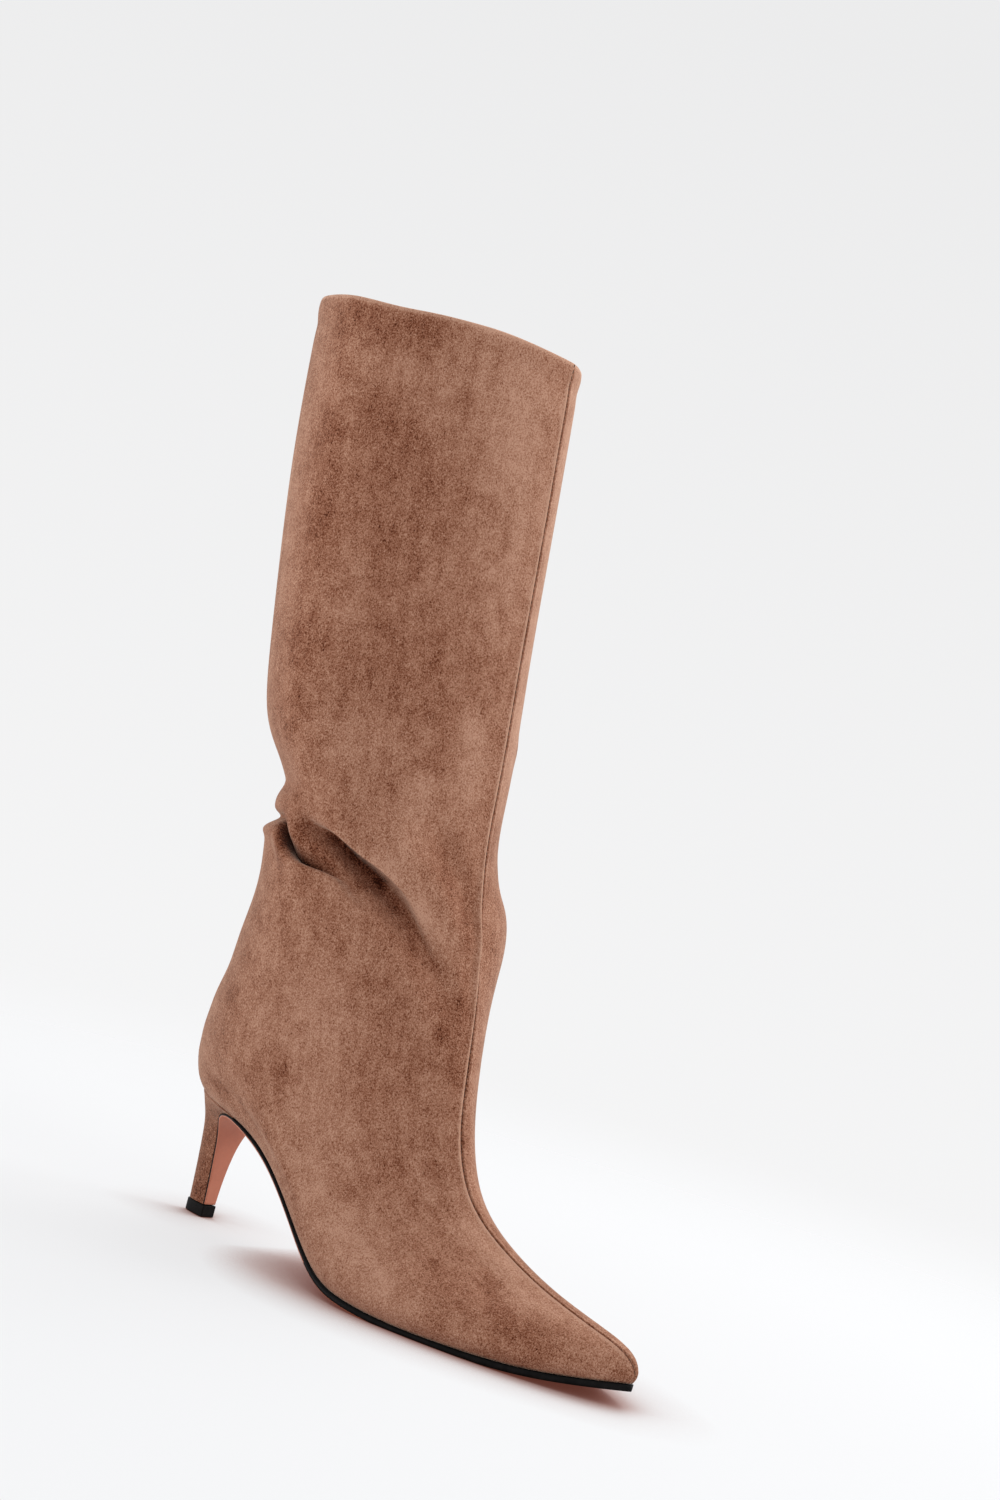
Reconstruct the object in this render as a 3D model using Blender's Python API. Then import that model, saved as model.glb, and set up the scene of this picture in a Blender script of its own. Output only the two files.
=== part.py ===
"""A right knee-high slouch boot with a slim heel, standing empty on its heel tip and forefoot.

Frame: metres, +X to the toe, +Y to the medial side, +Z up, with the origin on the floor under the
middle of the heel tip. The tables are in millimetres and start at the back of the heel seat, x = 0.
"""

import bmesh
import bpy
import numpy as np

MM = 0.001
GAP = 0.3  # between neighbouring solids
HEEL_TIP_X = 9.4  # middle of the heel tip, from the back of the seat

# Upper
WALL = 1.8  # suede and lining together
SHAFT_LEAN = 8.5  # degrees that the shaft leans back from upright
ANKLE = (66.0, 141.5)  # x and z of the axis that the shaft leans about
ARCH_AT, ARCH_REACH, ARCH_CUT = 0.36, 0.14, 0.13  # where and how far the medial waist draws in
FRONT_FULLNESS = 1.8  # how full the sides stay towards the front
BALL_FROM, BALL_TO = 0.22, 0.60  # share of the foot over which the heel's width becomes the ball's
INWARD_CURVE_FROM = 0.4  # share of the foot from which its middle line curves in to the toe
SECTION_POINTS = 161  # along each side of a section, before it is cut into turns
TURNS = 60  # points in a ring of the upper

# Outsole: along x it is the flap under the heel's seat, the shank under the arch, then the forefoot
SOLE_MARGIN = 0.9  # that the outsole stands proud of the upper
SOLE_CHAMFER = 0.6
FOREFOOT_THICK, SHANK_THICK, FLAP_THICK = 2.6, 1.7, 1.0
FLAP_TO_SHANK = (20.0, 60.0)  # x over which the thickness changes
SHANK_TO_FOREFOOT = (90.0, 135.0)
SHANK_STATIONS, FOREFOOT_STATIONS = (48.0, 120.0, 9), 25
TOE_FROM, TOE_TO = 150.0, 200.0  # x over which the sole's edge turns from square-on to upright
TOE_CROWDING = 1.8  # how closely the stations draw together at the point of the toe
TOE_BLUNTING = 0.25

# Heel, top piece and insole
BREAST_ROWS = 20  # sections of the heel, and of the flap on its breast
HEEL_BACK = (3.4, 2.6, 2.0, 1.8)  # x of the heel's back line, evenly from the top piece to the seat
HEEL_POINTS = 17  # round a section of the heel
TOP_PIECE_HEIGHT = 5.0
TOP_PIECE_BACK, TOP_PIECE_BREAST, TOP_PIECE_HALF_WIDTH = 2.6, 16.2, 3.6
INSOLE_THICK = 2.0
INSOLE_CLEARANCE = 0.8  # to the inside of the upper
INSOLE_STATIONS = 34

# The feather line from the side: where the upper meets the sole and the heel.
FEATHER_COLUMNS = ("x", "z")
FEATHER_LINE = (
    (0.0, 54.5),
    (25.0, 51.8),
    (50.0, 46.7),
    (75.0, 34.5),
    (100.0, 18.0),
    (120.0, 7.1),
    (138.0, 3.6),
    (160.0, 2.2),
    (185.0, 2.3),
    (215.0, 4.1),
    (248.0, 10.1),
)

# Upper sections from the feather line to the collar, with the shaft upright. A section runs from its
# front point to its back point. heel and ball are half widths, medial is the medial side's share of
# them, and a reach is the share of the length over which an end rounds off. front_point is 0.5 for a
# round front and more for a sharp one. sole is the section's share of the sole's form, and lean its
# share of the shaft's lean.
SECTION_COLUMNS = (
    "front_x", "front_y", "front_z", "back_x", "back_z", "heel", "ball", "medial",
    "back_reach", "front_reach", "front_point", "sole", "lean",
)
SECTIONS = (
    (247.0, 6.0, 9.9, 1.8, 54.2, 25.5, 39.3, 0.96, 0.17, 0.50, 0.78, 1.00, 0.00),  # feather line
    (248.6, 6.0, 14.0, -1.2, 58.5, 28.8, 41.5, 0.94, 0.18, 0.47, 0.77, 0.96, 0.00),
    (245.6, 5.8, 19.3, -3.6, 64.0, 31.0, 41.0, 0.91, 0.20, 0.50, 0.77, 0.88, 0.00),  # toe top
    (230.5, 4.8, 24.5, -4.2, 69.5, 33.0, 39.0, 0.87, 0.22, 0.55, 0.76, 0.76, 0.00),
    (206.5, 3.4, 29.5, -3.5, 75.5, 34.5, 37.0, 0.84, 0.24, 0.60, 0.75, 0.60, 0.00),  # vamp
    (180.5, 2.0, 38.0, -2.5, 81.5, 36.0, 35.5, 0.86, 0.27, 0.62, 0.72, 0.42, 0.00),
    (158.0, 1.0, 51.0, -0.3, 88.5, 37.7, 35.5, 0.95, 0.30, 0.62, 0.64, 0.26, 0.00),  # throat
    (145.5, 0.5, 69.5, 2.0, 97.0, 39.6, 36.5, 0.96, 0.34, 0.60, 0.59, 0.13, 0.00),
    (137.7, 1.0, 90.2, 5.6, 108.5, 41.5, 38.5, 0.95, 0.38, 0.58, 0.59, 0.05, 0.06),  # instep
    (129.5, 3.0, 111.5, 8.4, 124.5, 44.5, 43.5, 0.97, 0.43, 0.55, 0.60, 0.00, 0.25),
    (120.0, 6.0, 135.5, 14.5, 147.0, 48.0, 48.0, 1.04, 0.48, 0.55, 0.60, 0.00, 0.55),  # ankle
    (112.5, 9.0, 163.0, 15.5, 172.0, 50.0, 50.0, 0.88, 0.50, 0.55, 0.66, 0.00, 0.85),
    (111.0, 12.0, 199.0, 9.5, 208.0, 53.2, 53.2, 0.90, 0.50, 0.55, 0.72, 0.00, 1.00),  # shaft
    (112.5, 12.0, 248.5, 3.0, 262.0, 55.0, 55.0, 0.88, 0.50, 0.55, 0.72, 0.00, 1.00),
    (114.5, 12.0, 305.5, -0.5, 325.5, 56.0, 56.0, 0.87, 0.50, 0.55, 0.72, 0.00, 1.00),
    (116.5, 12.0, 377.0, 1.5, 392.5, 56.0, 56.0, 0.87, 0.50, 0.55, 0.72, 0.00, 1.00),  # collar
)

# The folds where the slack shaft has sunk onto the foot. turn is 0 at the front seam, 0.5 on the
# lateral side, 1 at the back and 1.5 on the medial side; level is the distance up the upper. depth
# is how far the upper is drawn in, or pushed out by a bulge, and above and below are how far that
# reaches to each side of its line.
FOLD_COLUMNS = ("turn", "level", "depth", "above", "below")
UNDER_SHAFT = (  # the shaft's lower edge, which hangs over the ankle from the side to the front
    (0.07, 125.0, 0.0, 8.0, 13.0),
    (0.13, 135.5, 3.0, 7.5, 14.0),
    (0.17, 142.5, 4.5, 7.0, 14.0),
    (0.23, 151.5, 7.0, 6.0, 14.0),
    (0.30, 160.3, 9.0, 5.5, 13.0),
    (0.38, 168.3, 9.0, 5.5, 11.0),
    (0.45, 174.0, 6.5, 5.5, 9.0),
    (0.50, 177.5, 3.0, 5.5, 7.0),
    (0.54, 180.0, 0.0, 6.0, 6.0),
)
BEHIND_LIP = (  # the pocket behind the lip of the foot, round the back of the ankle
    (0.27, 149.0, 0.0, 9.0, 5.0),
    (0.33, 154.0, 3.5, 9.0, 5.0),
    (0.39, 157.8, 6.5, 9.0, 5.8),
    (0.44, 160.8, 8.0, 9.0, 6.5),
    (0.49, 165.0, 8.5, 8.5, 7.0),
    (0.54, 170.0, 6.5, 7.0, 6.5),
    (0.59, 174.5, 4.5, 5.5, 5.5),
    (0.66, 176.0, 4.0, 5.0, 4.6),
    (0.80, 176.0, 5.0, 5.0, 5.0),
    (1.00, 175.5, 5.5, 6.0, 5.5),
    (1.25, 173.5, 4.5, 6.0, 6.0),
    (1.45, 170.0, 2.0, 6.0, 6.0),
    (1.60, 166.0, 0.0, 6.0, 6.0),
)
WAIST = (  # the hollow above the fold, where the shaft narrows at the back
    (0.40, 188.0, 0.0, 16.0, 9.0),
    (0.50, 192.5, 3.5, 17.0, 9.0),
    (0.60, 194.5, 6.5, 18.0, 9.5),
    (0.80, 194.5, 7.5, 18.0, 9.5),
    (1.10, 193.0, 7.5, 18.0, 10.0),
    (1.35, 191.0, 4.0, 17.0, 10.0),
    (1.55, 188.0, 0.0, 16.0, 10.0),
)
OVER_INSTEP = (  # the slack that bulges out over the inner side of the instep
    (1.55, 168.0, 0.0, 17.0, 17.0),
    (1.70, 164.0, 2.0, 17.0, 17.0),
    (1.83, 160.0, 3.8, 17.0, 17.0),
    (1.93, 157.0, 2.4, 17.0, 17.0),
    (2.00, 155.0, 0.0, 17.0, 17.0),
)
FOLDS = (UNDER_SHAFT, BEHIND_LIP, WAIST)
BULGES = (OVER_INSTEP,)

# The breast of the heel from the top piece up to the arch: the flap's rear face, and half its width.
BREAST_COLUMNS = ("x", "z", "half_width")
BREAST = (
    (15.1, 5.5, 3.1),
    (15.2, 15.5, 3.8),
    (15.5, 23.5, 4.8),
    (16.0, 29.5, 5.8),
    (16.7, 34.5, 7.1),
    (18.0, 39.5, 9.4),
    (21.2, 43.7, 13.2),
    (27.2, 46.6, 17.5),
    (34.0, 47.7, 21.0),
    (40.0, 47.8, 23.6),
)


def columns(names, rows):
    """The columns of a table, by name."""
    return dict(zip(names, np.array(rows, float).T))


def smooth_through(knots, rows):
    """A function that interpolates the rows with a natural cubic spline over the knots."""
    knots, rows = np.asarray(knots, float), np.asarray(rows, float)
    step = np.diff(knots)
    bend = np.zeros_like(rows)
    system = np.eye(len(knots))
    for i in range(1, len(knots) - 1):
        system[i, i - 1 : i + 2] = step[i - 1], 2 * (step[i - 1] + step[i]), step[i]
        slopes = (rows[i + 1] - rows[i]) / step[i] - (rows[i] - rows[i - 1]) / step[i - 1]
        bend[i] = 6 * slopes
    bend = np.linalg.solve(system, bend)

    def at(where):
        where = np.atleast_1d(np.asarray(where, float))
        i = np.clip(np.searchsorted(knots, where, side="right") - 1, 0, len(step) - 1)
        h = step[i][:, None]
        after = where[:, None] - knots[i][:, None]
        before = h - after
        curve = (bend[i] * before**3 + bend[i + 1] * after**3) / (6 * h)
        line = (rows[i] / h - bend[i] * h / 6) * before + (rows[i + 1] / h - bend[i + 1] * h / 6) * after
        return curve + line

    return at


def smoothstep(value, start, end):
    share = np.clip((value - start) / (end - start), 0.0, 1.0)
    return share * share * (3 - 2 * share)


def bump(value, centre, reach):
    return np.exp(-(((value - centre) / reach) ** 2))


def running_length(points):
    """Distance along a line of points, from 0 at its first one."""
    return np.concatenate([[0.0], np.cumsum(np.linalg.norm(np.diff(points, axis=0), axis=1))])


feather = columns(FEATHER_COLUMNS, FEATHER_LINE)
feather_spline = smooth_through(feather["x"], feather["z"][:, None])
SECTION_TABLE = np.array(SECTIONS)
SECTION_LEVELS = (running_length(SECTION_TABLE[:, 0:3]) + running_length(SECTION_TABLE[:, 3:5])) / 2
COLLAR_LEVEL = SECTION_LEVELS[-1]
section_at = smooth_through(SECTION_LEVELS, SECTION_TABLE)


def feather_height(x):
    """Height of the feather line at x."""
    return feather_spline(x)[:, 0]


def sole_dip(share):
    """How far the feather line hangs below its own chord, at each share of the way to the toe."""
    start, end = SECTION_TABLE[0, 3], SECTION_TABLE[0, 0]
    line = feather_height(start + (end - start) * share)
    return line - (line[share.argmin()] * (1 - share) + line[share.argmax()] * share)


def half_widths(share, row):
    """Half width of a section at each share of its length from the back point to the front one."""
    width = row["heel"] + (row["ball"] - row["heel"]) * smoothstep(share, BALL_FROM, BALL_TO)
    back = 1 - (1 - np.clip(share / row["back_reach"], 0, 1)) ** 2
    front = 1 - (1 - np.clip((1 - share) / row["front_reach"], 0, 1)) ** FRONT_FULLNESS
    return width * np.sqrt(back) * front ** row["front_point"]


def lean_back(points, angle):
    """The points turned back about the ankle by an angle in degrees."""
    cosine, sine = np.cos(np.radians(angle)), np.sin(np.radians(angle))
    x, z = points[:, 0] - ANKLE[0], points[:, 2] - ANKLE[1]
    turned = points.copy()
    turned[:, 0] = ANKLE[0] + cosine * x - sine * z
    turned[:, 2] = ANKLE[1] + sine * x + cosine * z
    return turned


def section_ring(level, turns):
    """One section as evenly spaced points: front seam, lateral side, back, medial side."""
    row = dict(zip(SECTION_COLUMNS, section_at(level)[0]))
    share = 0.5 * (1 + np.cos(np.linspace(0, np.pi, SECTION_POINTS)))
    x = row["back_x"] + (row["front_x"] - row["back_x"]) * share
    z = row["back_z"] + (row["front_z"] - row["back_z"]) * share + row["sole"] * sole_dip(share)
    inward = np.clip((share - INWARD_CURVE_FROM) / (1 - INWARD_CURVE_FROM), 0, 1)
    middle = row["front_y"] * inward**1.5
    width = half_widths(share, row)
    arch = 1 - ARCH_CUT * row["sole"] * bump(share, ARCH_AT, ARCH_REACH)
    sides = []
    for y in (middle - width, middle + width * row["medial"] * arch):
        line = np.stack([x, y, z], axis=1)
        run = running_length(line)
        even = np.linspace(0, run[-1], turns // 2 + 1)
        sides.append(np.stack([np.interp(even, run, line[:, k]) for k in range(3)], axis=1))
    ring = np.concatenate([sides[0], sides[1][-2:0:-1]])
    return lean_back(ring, SHAFT_LEAN * row["lean"])


def outward_normals(grid):
    """Unit normals of a grid of rings, pointing out of the boot."""
    along = np.gradient(grid, axis=0)
    around = np.roll(grid, -1, axis=1) - np.roll(grid, 1, axis=1)
    normal = np.cross(along, around)
    return normal / np.linalg.norm(normal, axis=2, keepdims=True)


def fold_depth(level, turn, folds):
    """How far the folds move the upper, for arrays of levels and turns."""
    moved = np.zeros(np.broadcast(level, turn).shape)
    for fold in folds:
        rows = np.array(fold)
        first, last = rows[0, 0], rows[-1, 0]
        along = smooth_through(rows[:, 0], rows[:, 1:])(np.clip(turn, first, last).ravel())
        here = dict(zip(FOLD_COLUMNS[1:], along.T.reshape((-1,) + np.shape(turn))))
        depth = np.where((turn > first) & (turn < last), np.clip(here["depth"], 0, None), 0)
        reach = np.where(level > here["level"], here["above"], here["below"])
        moved += depth * bump(level, here["level"], reach)
    return moved


def upper_surface(levels, turns):
    """The outside of the upper as a grid of rings, folds included, and its outward normals."""
    grid = np.array([section_ring(level, turns) for level in levels])
    level, turn = np.asarray(levels)[:, None], 2 * np.arange(turns)[None, :] / turns
    raised = fold_depth(level, turn, BULGES) - fold_depth(level, turn, FOLDS)
    grid += raised[:, :, None] * outward_normals(grid)
    grid[0, :, 2] = feather_height(grid[0, :, 0])
    return grid, outward_normals(grid)


def offset_outline(ring, distance):
    """A flat ring moved out by a distance, in x and y alone."""
    along = np.roll(ring, -1, axis=0) - np.roll(ring, 1, axis=0)
    out = np.stack([-along[:, 1], along[:, 0]], axis=1)
    out /= np.linalg.norm(out, axis=1, keepdims=True)
    return ring[:, :2] + distance * out


def inset_edge(distance):
    """The feather line moved in (or out, if negative), as y of each side against x, and its ends."""
    half = 2 * TURNS
    line = offset_outline(section_ring(0.0, 2 * half), -distance)
    lateral, medial = line[: half + 1][::-1], np.concatenate([line[half:], line[:1]])
    start, end = line[half, 0], line[0, 0]

    def sides(x):
        return np.interp(x, lateral[:, 0], lateral[:, 1]), np.interp(x, medial[:, 0], medial[:, 1])

    return sides, start, end


def in_frame(x, y, z):
    """A point of the tables, in metres from the middle of the heel tip."""
    return (x - HEEL_TIP_X) * MM, y * MM, z * MM


def material(name, colour, roughness):
    made = bpy.data.materials.new(name)
    made.use_nodes = True
    shader = made.node_tree.nodes["Principled BSDF"]
    shader.inputs["Base Color"].default_value = (*colour, 1.0)
    shader.inputs["Roughness"].default_value = roughness
    shader.inputs["Metallic"].default_value = 0.0
    return made


def add_loft(name, rings, surface, ring_of_rings=False):
    """An object skinned over closed rings of equal length, capped unless its last ring meets its first."""
    mesh = bmesh.new()
    rows = [[mesh.verts.new(in_frame(*point)) for point in ring] for ring in rings]
    pairs = list(zip(rows, rows[1:]))
    if ring_of_rings:
        pairs.append((rows[-1], rows[0]))
    else:
        ends = [mesh.faces.new(rows[0][::-1]), mesh.faces.new(rows[-1])]
        bmesh.ops.triangulate(mesh, faces=ends)
    for lower, upper in pairs:
        for i, vert in enumerate(lower):
            j = (i + 1) % len(lower)
            mesh.faces.new((vert, lower[j], upper[j]))
            mesh.faces.new((vert, upper[j], upper[i]))
    bmesh.ops.recalc_face_normals(mesh, faces=mesh.faces[:])
    data = bpy.data.meshes.new(name)
    mesh.to_mesh(data)
    mesh.free()
    data.shade_smooth()
    data.set_sharp_from_angle(angle=np.radians(40))
    data.materials.append(surface)
    made = bpy.data.objects.new(name, data)
    parts.objects.link(made)
    return made


def make_upper(surface):
    """The one-piece upper and shaft: a wall between an outer and an inner skin, open at both ends."""
    levels = np.concatenate(
        [
            np.linspace(0.0, 14.0, 4),
            np.linspace(22.0, 118.0, 9),
            np.linspace(127.0, 207.0, 21),
            (214.0, 223.0, 236.0, 258.0, 300.0, 346.0, COLLAR_LEVEL),
        ]
    )
    outer, normal = upper_surface(levels, TURNS)
    inner = outer - WALL * normal
    inner[0, :, :2] = offset_outline(outer[0], -WALL)
    inner[0, :, 2] = feather_height(inner[0, :, 0])
    return add_loft("upper", np.concatenate([outer, inner[::-1]]), surface, ring_of_rings=True)


def plate_ring(x, z, down, thick, lateral, medial):
    """A plate's cross-section at a point of its top line; down is the unit vector through it in x, z."""
    chamfer = min(SOLE_CHAMFER, 0.2 * (medial - lateral))
    low = np.array([x, z]) + thick * np.asarray(down)
    side = np.array([x, z]) + (thick - chamfer) * np.asarray(down)
    return np.array(
        [
            (x, lateral, z),
            (x, medial, z),
            (side[0], medial, side[1]),
            (low[0], medial - chamfer, low[1]),
            (low[0], lateral + chamfer, low[1]),
            (side[0], lateral, side[1]),
        ]
    )


def sole_path():
    """The outsole's top line from the heel tip up the breast, BREAST_ROWS stations, and on to the toe.

    Each station is x, z, lateral y, medial y and the unit direction down through the sole in x and z.
    """
    sides, _, toe = inset_edge(-SOLE_MARGIN)
    start, forefoot, count = SHANK_STATIONS
    shank_x = np.linspace(start, forefoot, count, endpoint=False)
    to_toe = 1 - (1 - np.linspace(0, 1, FOREFOOT_STATIONS)) ** TOE_CROWDING
    sole_x = np.concatenate([shank_x, forefoot + (toe - TOE_BLUNTING - forefoot) * to_toe])
    lateral, medial = sides(sole_x)
    sole = np.stack([sole_x, feather_height(sole_x) - GAP, lateral, medial], axis=1)
    flap = columns(BREAST_COLUMNS, BREAST)
    breast = np.stack([flap["x"], flap["z"], -flap["half_width"], flap["half_width"]], axis=1)
    rows = np.concatenate([breast, sole])
    along = running_length(rows[:, :2])
    top = along[len(breast) - 1]
    knots = np.concatenate([np.linspace(0, top, BREAST_ROWS)[:-1], along[along >= top]])
    stations = smooth_through(along, rows)(knots)
    run, rise = np.gradient(stations[:, :2], axis=0).T
    rise *= 1 - smoothstep(stations[:, 0], TOE_FROM, TOE_TO)
    length = np.hypot(run, rise)
    return np.column_stack([stations, rise / length, -run / length])


def make_outsole(surface):
    """The sole from the toe up the arch, turned down the breast of the heel as a flap."""
    rings = []
    for x, z, lateral, medial, down_x, down_z in sole_path():
        thick = SHANK_THICK + (FOREFOOT_THICK - SHANK_THICK) * smoothstep(x, *SHANK_TO_FOREFOOT)
        thick = FLAP_THICK + (thick - FLAP_THICK) * smoothstep(x, *FLAP_TO_SHANK)
        rings.append(plate_ring(x, z, (down_x, down_z), thick, lateral, medial))
    rings = np.array(rings)
    rings[:, :, 2] = np.maximum(rings[:, :, 2], 0.0)  # the tread lies flat on the floor
    return add_loft("outsole", rings, surface)


def d_outline(back, breast, half_width):
    """A D in plan: a flat breast with square corners and a half ellipse behind it."""
    angle = np.linspace(-np.pi / 2, np.pi / 2, HEEL_POINTS)
    return breast - (breast - back) * np.cos(angle), half_width * np.sin(angle)


def make_heel(surface):
    """The heel from the top piece to the seat, flaring where its breast turns under the arch."""
    foot = TOP_PIECE_HEIGHT + GAP
    breast = sole_path()[:BREAST_ROWS]
    front_x, front_z = breast[:, 0] - GAP * breast[:, 4], breast[:, 1] - GAP * breast[:, 5]
    half = breast[:, 3]
    seat_z = feather_height(front_x) - GAP
    share = np.append((front_z - foot) / (seat_z - foot), 1.0)
    share[0] = 0.0
    back = np.interp(share, np.linspace(0, 1, len(HEEL_BACK)), HEEL_BACK)
    rings = []
    for k, height_share in enumerate(share):
        row = min(k, BREAST_ROWS - 1)
        plan_x, plan_y = d_outline(back[k], front_x[row], half[row])
        height = foot + height_share * (feather_height(plan_x) - GAP - foot)
        rings.append(np.stack([plan_x, plan_y, height], axis=1))
    return add_loft("heel", rings, surface)


def make_top_piece(surface):
    """The hard cap that the heel stands on: its outline from below, drawn up to its height."""
    outline = d_outline(TOP_PIECE_BACK, TOP_PIECE_BREAST, TOP_PIECE_HALF_WIDTH)
    curve = bpy.data.curves.new("top_piece", "CURVE")
    curve.dimensions = "2D"
    curve.fill_mode = "BOTH"
    curve.extrude = TOP_PIECE_HEIGHT / 2 * MM
    edge = curve.splines.new("POLY")
    edge.points.add(HEEL_POINTS - 1)
    edge.use_cyclic_u = True
    for point, (x, y) in zip(edge.points, zip(*outline)):
        point.co = (*in_frame(x, y, 0.0), 1.0)
    curve.materials.append(surface)
    made = bpy.data.objects.new("top_piece", curve)
    made.location = (0.0, 0.0, TOP_PIECE_HEIGHT / 2 * MM)
    parts.objects.link(made)
    return made


def make_insole(surface):
    """The board and sock inside, resting on the heel and the outsole."""
    sides, heel, toe = inset_edge(WALL + INSOLE_CLEARANCE)
    share = 0.5 * (1 - np.cos(np.linspace(0, np.pi, INSOLE_STATIONS)))
    stations = heel + GAP + (toe - INSOLE_CLEARANCE - heel - 2 * GAP) * share
    lateral, medial = sides(stations)
    low = feather_height(stations)
    high = low + INSOLE_THICK
    around = ((lateral, low), (medial, low), (medial, high), (lateral, high))
    corners = [(stations, y, z) for y, z in around]
    return add_loft("insole", np.array(corners).transpose(2, 0, 1), surface)


for leftover in list(bpy.data.objects):
    bpy.data.objects.remove(leftover)
parts = bpy.data.collections.new("knee_high_boot")
bpy.context.scene.collection.children.link(parts)

make_upper(material("taupe suede", (0.33, 0.20, 0.14), 0.95))
make_heel(material("suede heel cover", (0.33, 0.20, 0.14), 0.95))
make_outsole(material("tan sole", (0.42, 0.15, 0.09), 0.55))
make_top_piece(material("black rubber", (0.012, 0.011, 0.011), 0.45))
make_insole(material("insole sock", (0.36, 0.24, 0.17), 0.8))
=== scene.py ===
"""Looks of a right knee-high slouch boot: napped faux suede, one sewn front seam, a slim wrapped heel.

Shapes are worked out in millimetres in the solids' own layout: x from the back of the heel seat to
the toe, y to the medial side, z up. in_frame() turns a point into the frame's metres.
"""

import bpy
import numpy as np
from mathutils import Matrix, Vector


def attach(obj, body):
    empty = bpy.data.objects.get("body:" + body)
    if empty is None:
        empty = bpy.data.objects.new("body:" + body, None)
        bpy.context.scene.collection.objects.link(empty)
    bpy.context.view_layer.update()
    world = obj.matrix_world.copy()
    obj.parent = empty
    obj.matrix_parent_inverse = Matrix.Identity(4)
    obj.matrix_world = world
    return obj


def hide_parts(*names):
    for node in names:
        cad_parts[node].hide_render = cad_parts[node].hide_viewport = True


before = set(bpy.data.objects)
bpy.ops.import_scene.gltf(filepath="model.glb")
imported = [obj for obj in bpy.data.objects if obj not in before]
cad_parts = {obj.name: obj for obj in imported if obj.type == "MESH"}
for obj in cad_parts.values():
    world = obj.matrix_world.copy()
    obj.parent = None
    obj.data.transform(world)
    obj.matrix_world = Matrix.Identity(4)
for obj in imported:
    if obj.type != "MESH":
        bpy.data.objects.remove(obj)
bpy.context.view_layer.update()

MM = 0.001
HEEL_TIP_X = 9.4  # middle of the heel tip, from the back of the seat

# The boot's form, as in its solids
GAP = 0.3
WALL = 1.8
SHAFT_LEAN = 8.5
ANKLE = (66.0, 141.5)
ARCH_AT, ARCH_REACH, ARCH_CUT = 0.36, 0.14, 0.13
FRONT_FULLNESS = 1.8
BALL_FROM, BALL_TO = 0.22, 0.60
INWARD_CURVE_FROM, INWARD_CURVE_POWER = 0.4, 1.5
SECTION_POINTS = 241

FEATHER_COLUMNS = ("x", "z")
FEATHER_LINE = (
    (0, 54.5), (25, 51.8), (50, 46.7), (75, 34.5), (100, 18), (120, 7.1), (138, 3.6), (160, 2.2), (185, 2.3),
    (215, 4.1), (248, 10.1),
)
SECTION_COLUMNS = (
    "front_x", "front_y", "front_z", "back_x", "back_z", "heel", "ball", "medial",
    "back_reach", "front_reach", "front_point", "sole", "lean",
)
SECTIONS = (
    (247.0, 6.0, 9.9, 1.8, 54.2, 25.5, 39.3, 0.96, 0.17, 0.50, 0.78, 1.00, 0.00),  # feather line
    (248.6, 6.0, 14.0, -1.2, 58.5, 28.8, 41.5, 0.94, 0.18, 0.47, 0.77, 0.96, 0.00),
    (245.6, 5.8, 19.3, -3.6, 64.0, 31.0, 41.0, 0.91, 0.20, 0.50, 0.77, 0.88, 0.00),  # toe top
    (230.5, 4.8, 24.5, -4.2, 69.5, 33.0, 39.0, 0.87, 0.22, 0.55, 0.76, 0.76, 0.00),
    (206.5, 3.4, 29.5, -3.5, 75.5, 34.5, 37.0, 0.84, 0.24, 0.60, 0.75, 0.60, 0.00),  # vamp
    (180.5, 2.0, 38.0, -2.5, 81.5, 36.0, 35.5, 0.86, 0.27, 0.62, 0.72, 0.42, 0.00),
    (158.0, 1.0, 51.0, -0.3, 88.5, 37.7, 35.5, 0.95, 0.30, 0.62, 0.64, 0.26, 0.00),  # throat
    (145.5, 0.5, 69.5, 2.0, 97.0, 39.6, 36.5, 0.96, 0.34, 0.60, 0.59, 0.13, 0.00),
    (137.7, 1.0, 90.2, 5.6, 108.5, 41.5, 38.5, 0.95, 0.38, 0.58, 0.59, 0.05, 0.06),  # instep
    (129.5, 3.0, 111.5, 8.4, 124.5, 44.5, 43.5, 0.97, 0.43, 0.55, 0.60, 0.00, 0.25),
    (120.0, 6.0, 135.5, 14.5, 147.0, 48.0, 48.0, 1.04, 0.48, 0.55, 0.60, 0.00, 0.55),  # ankle
    (112.5, 9.0, 163.0, 15.5, 172.0, 50.0, 50.0, 0.88, 0.50, 0.55, 0.66, 0.00, 0.85),
    (111.0, 12.0, 199.0, 9.5, 208.0, 53.2, 53.2, 0.90, 0.50, 0.55, 0.72, 0.00, 1.00),  # shaft
    (112.5, 12.0, 248.5, 3.0, 262.0, 55.0, 55.0, 0.88, 0.50, 0.55, 0.72, 0.00, 1.00),
    (114.5, 12.0, 305.5, -0.5, 325.5, 56.0, 56.0, 0.87, 0.50, 0.55, 0.72, 0.00, 1.00),
    (116.5, 12.0, 377.0, 1.5, 392.5, 56.0, 56.0, 0.87, 0.50, 0.55, 0.72, 0.00, 1.00),  # collar
)

# turn is 0 at the front seam, 0.5 on the lateral side, 1 at the back and 1.5 on the medial side.
# level is the distance up the upper from the feather line.
FOLD_COLUMNS = ("turn", "level", "depth", "above", "below")


def same_reach(above, below, *rows):
    """The rows of a fold whose reach is the same all along."""
    return [(*row, above, below) for row in rows]


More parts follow.
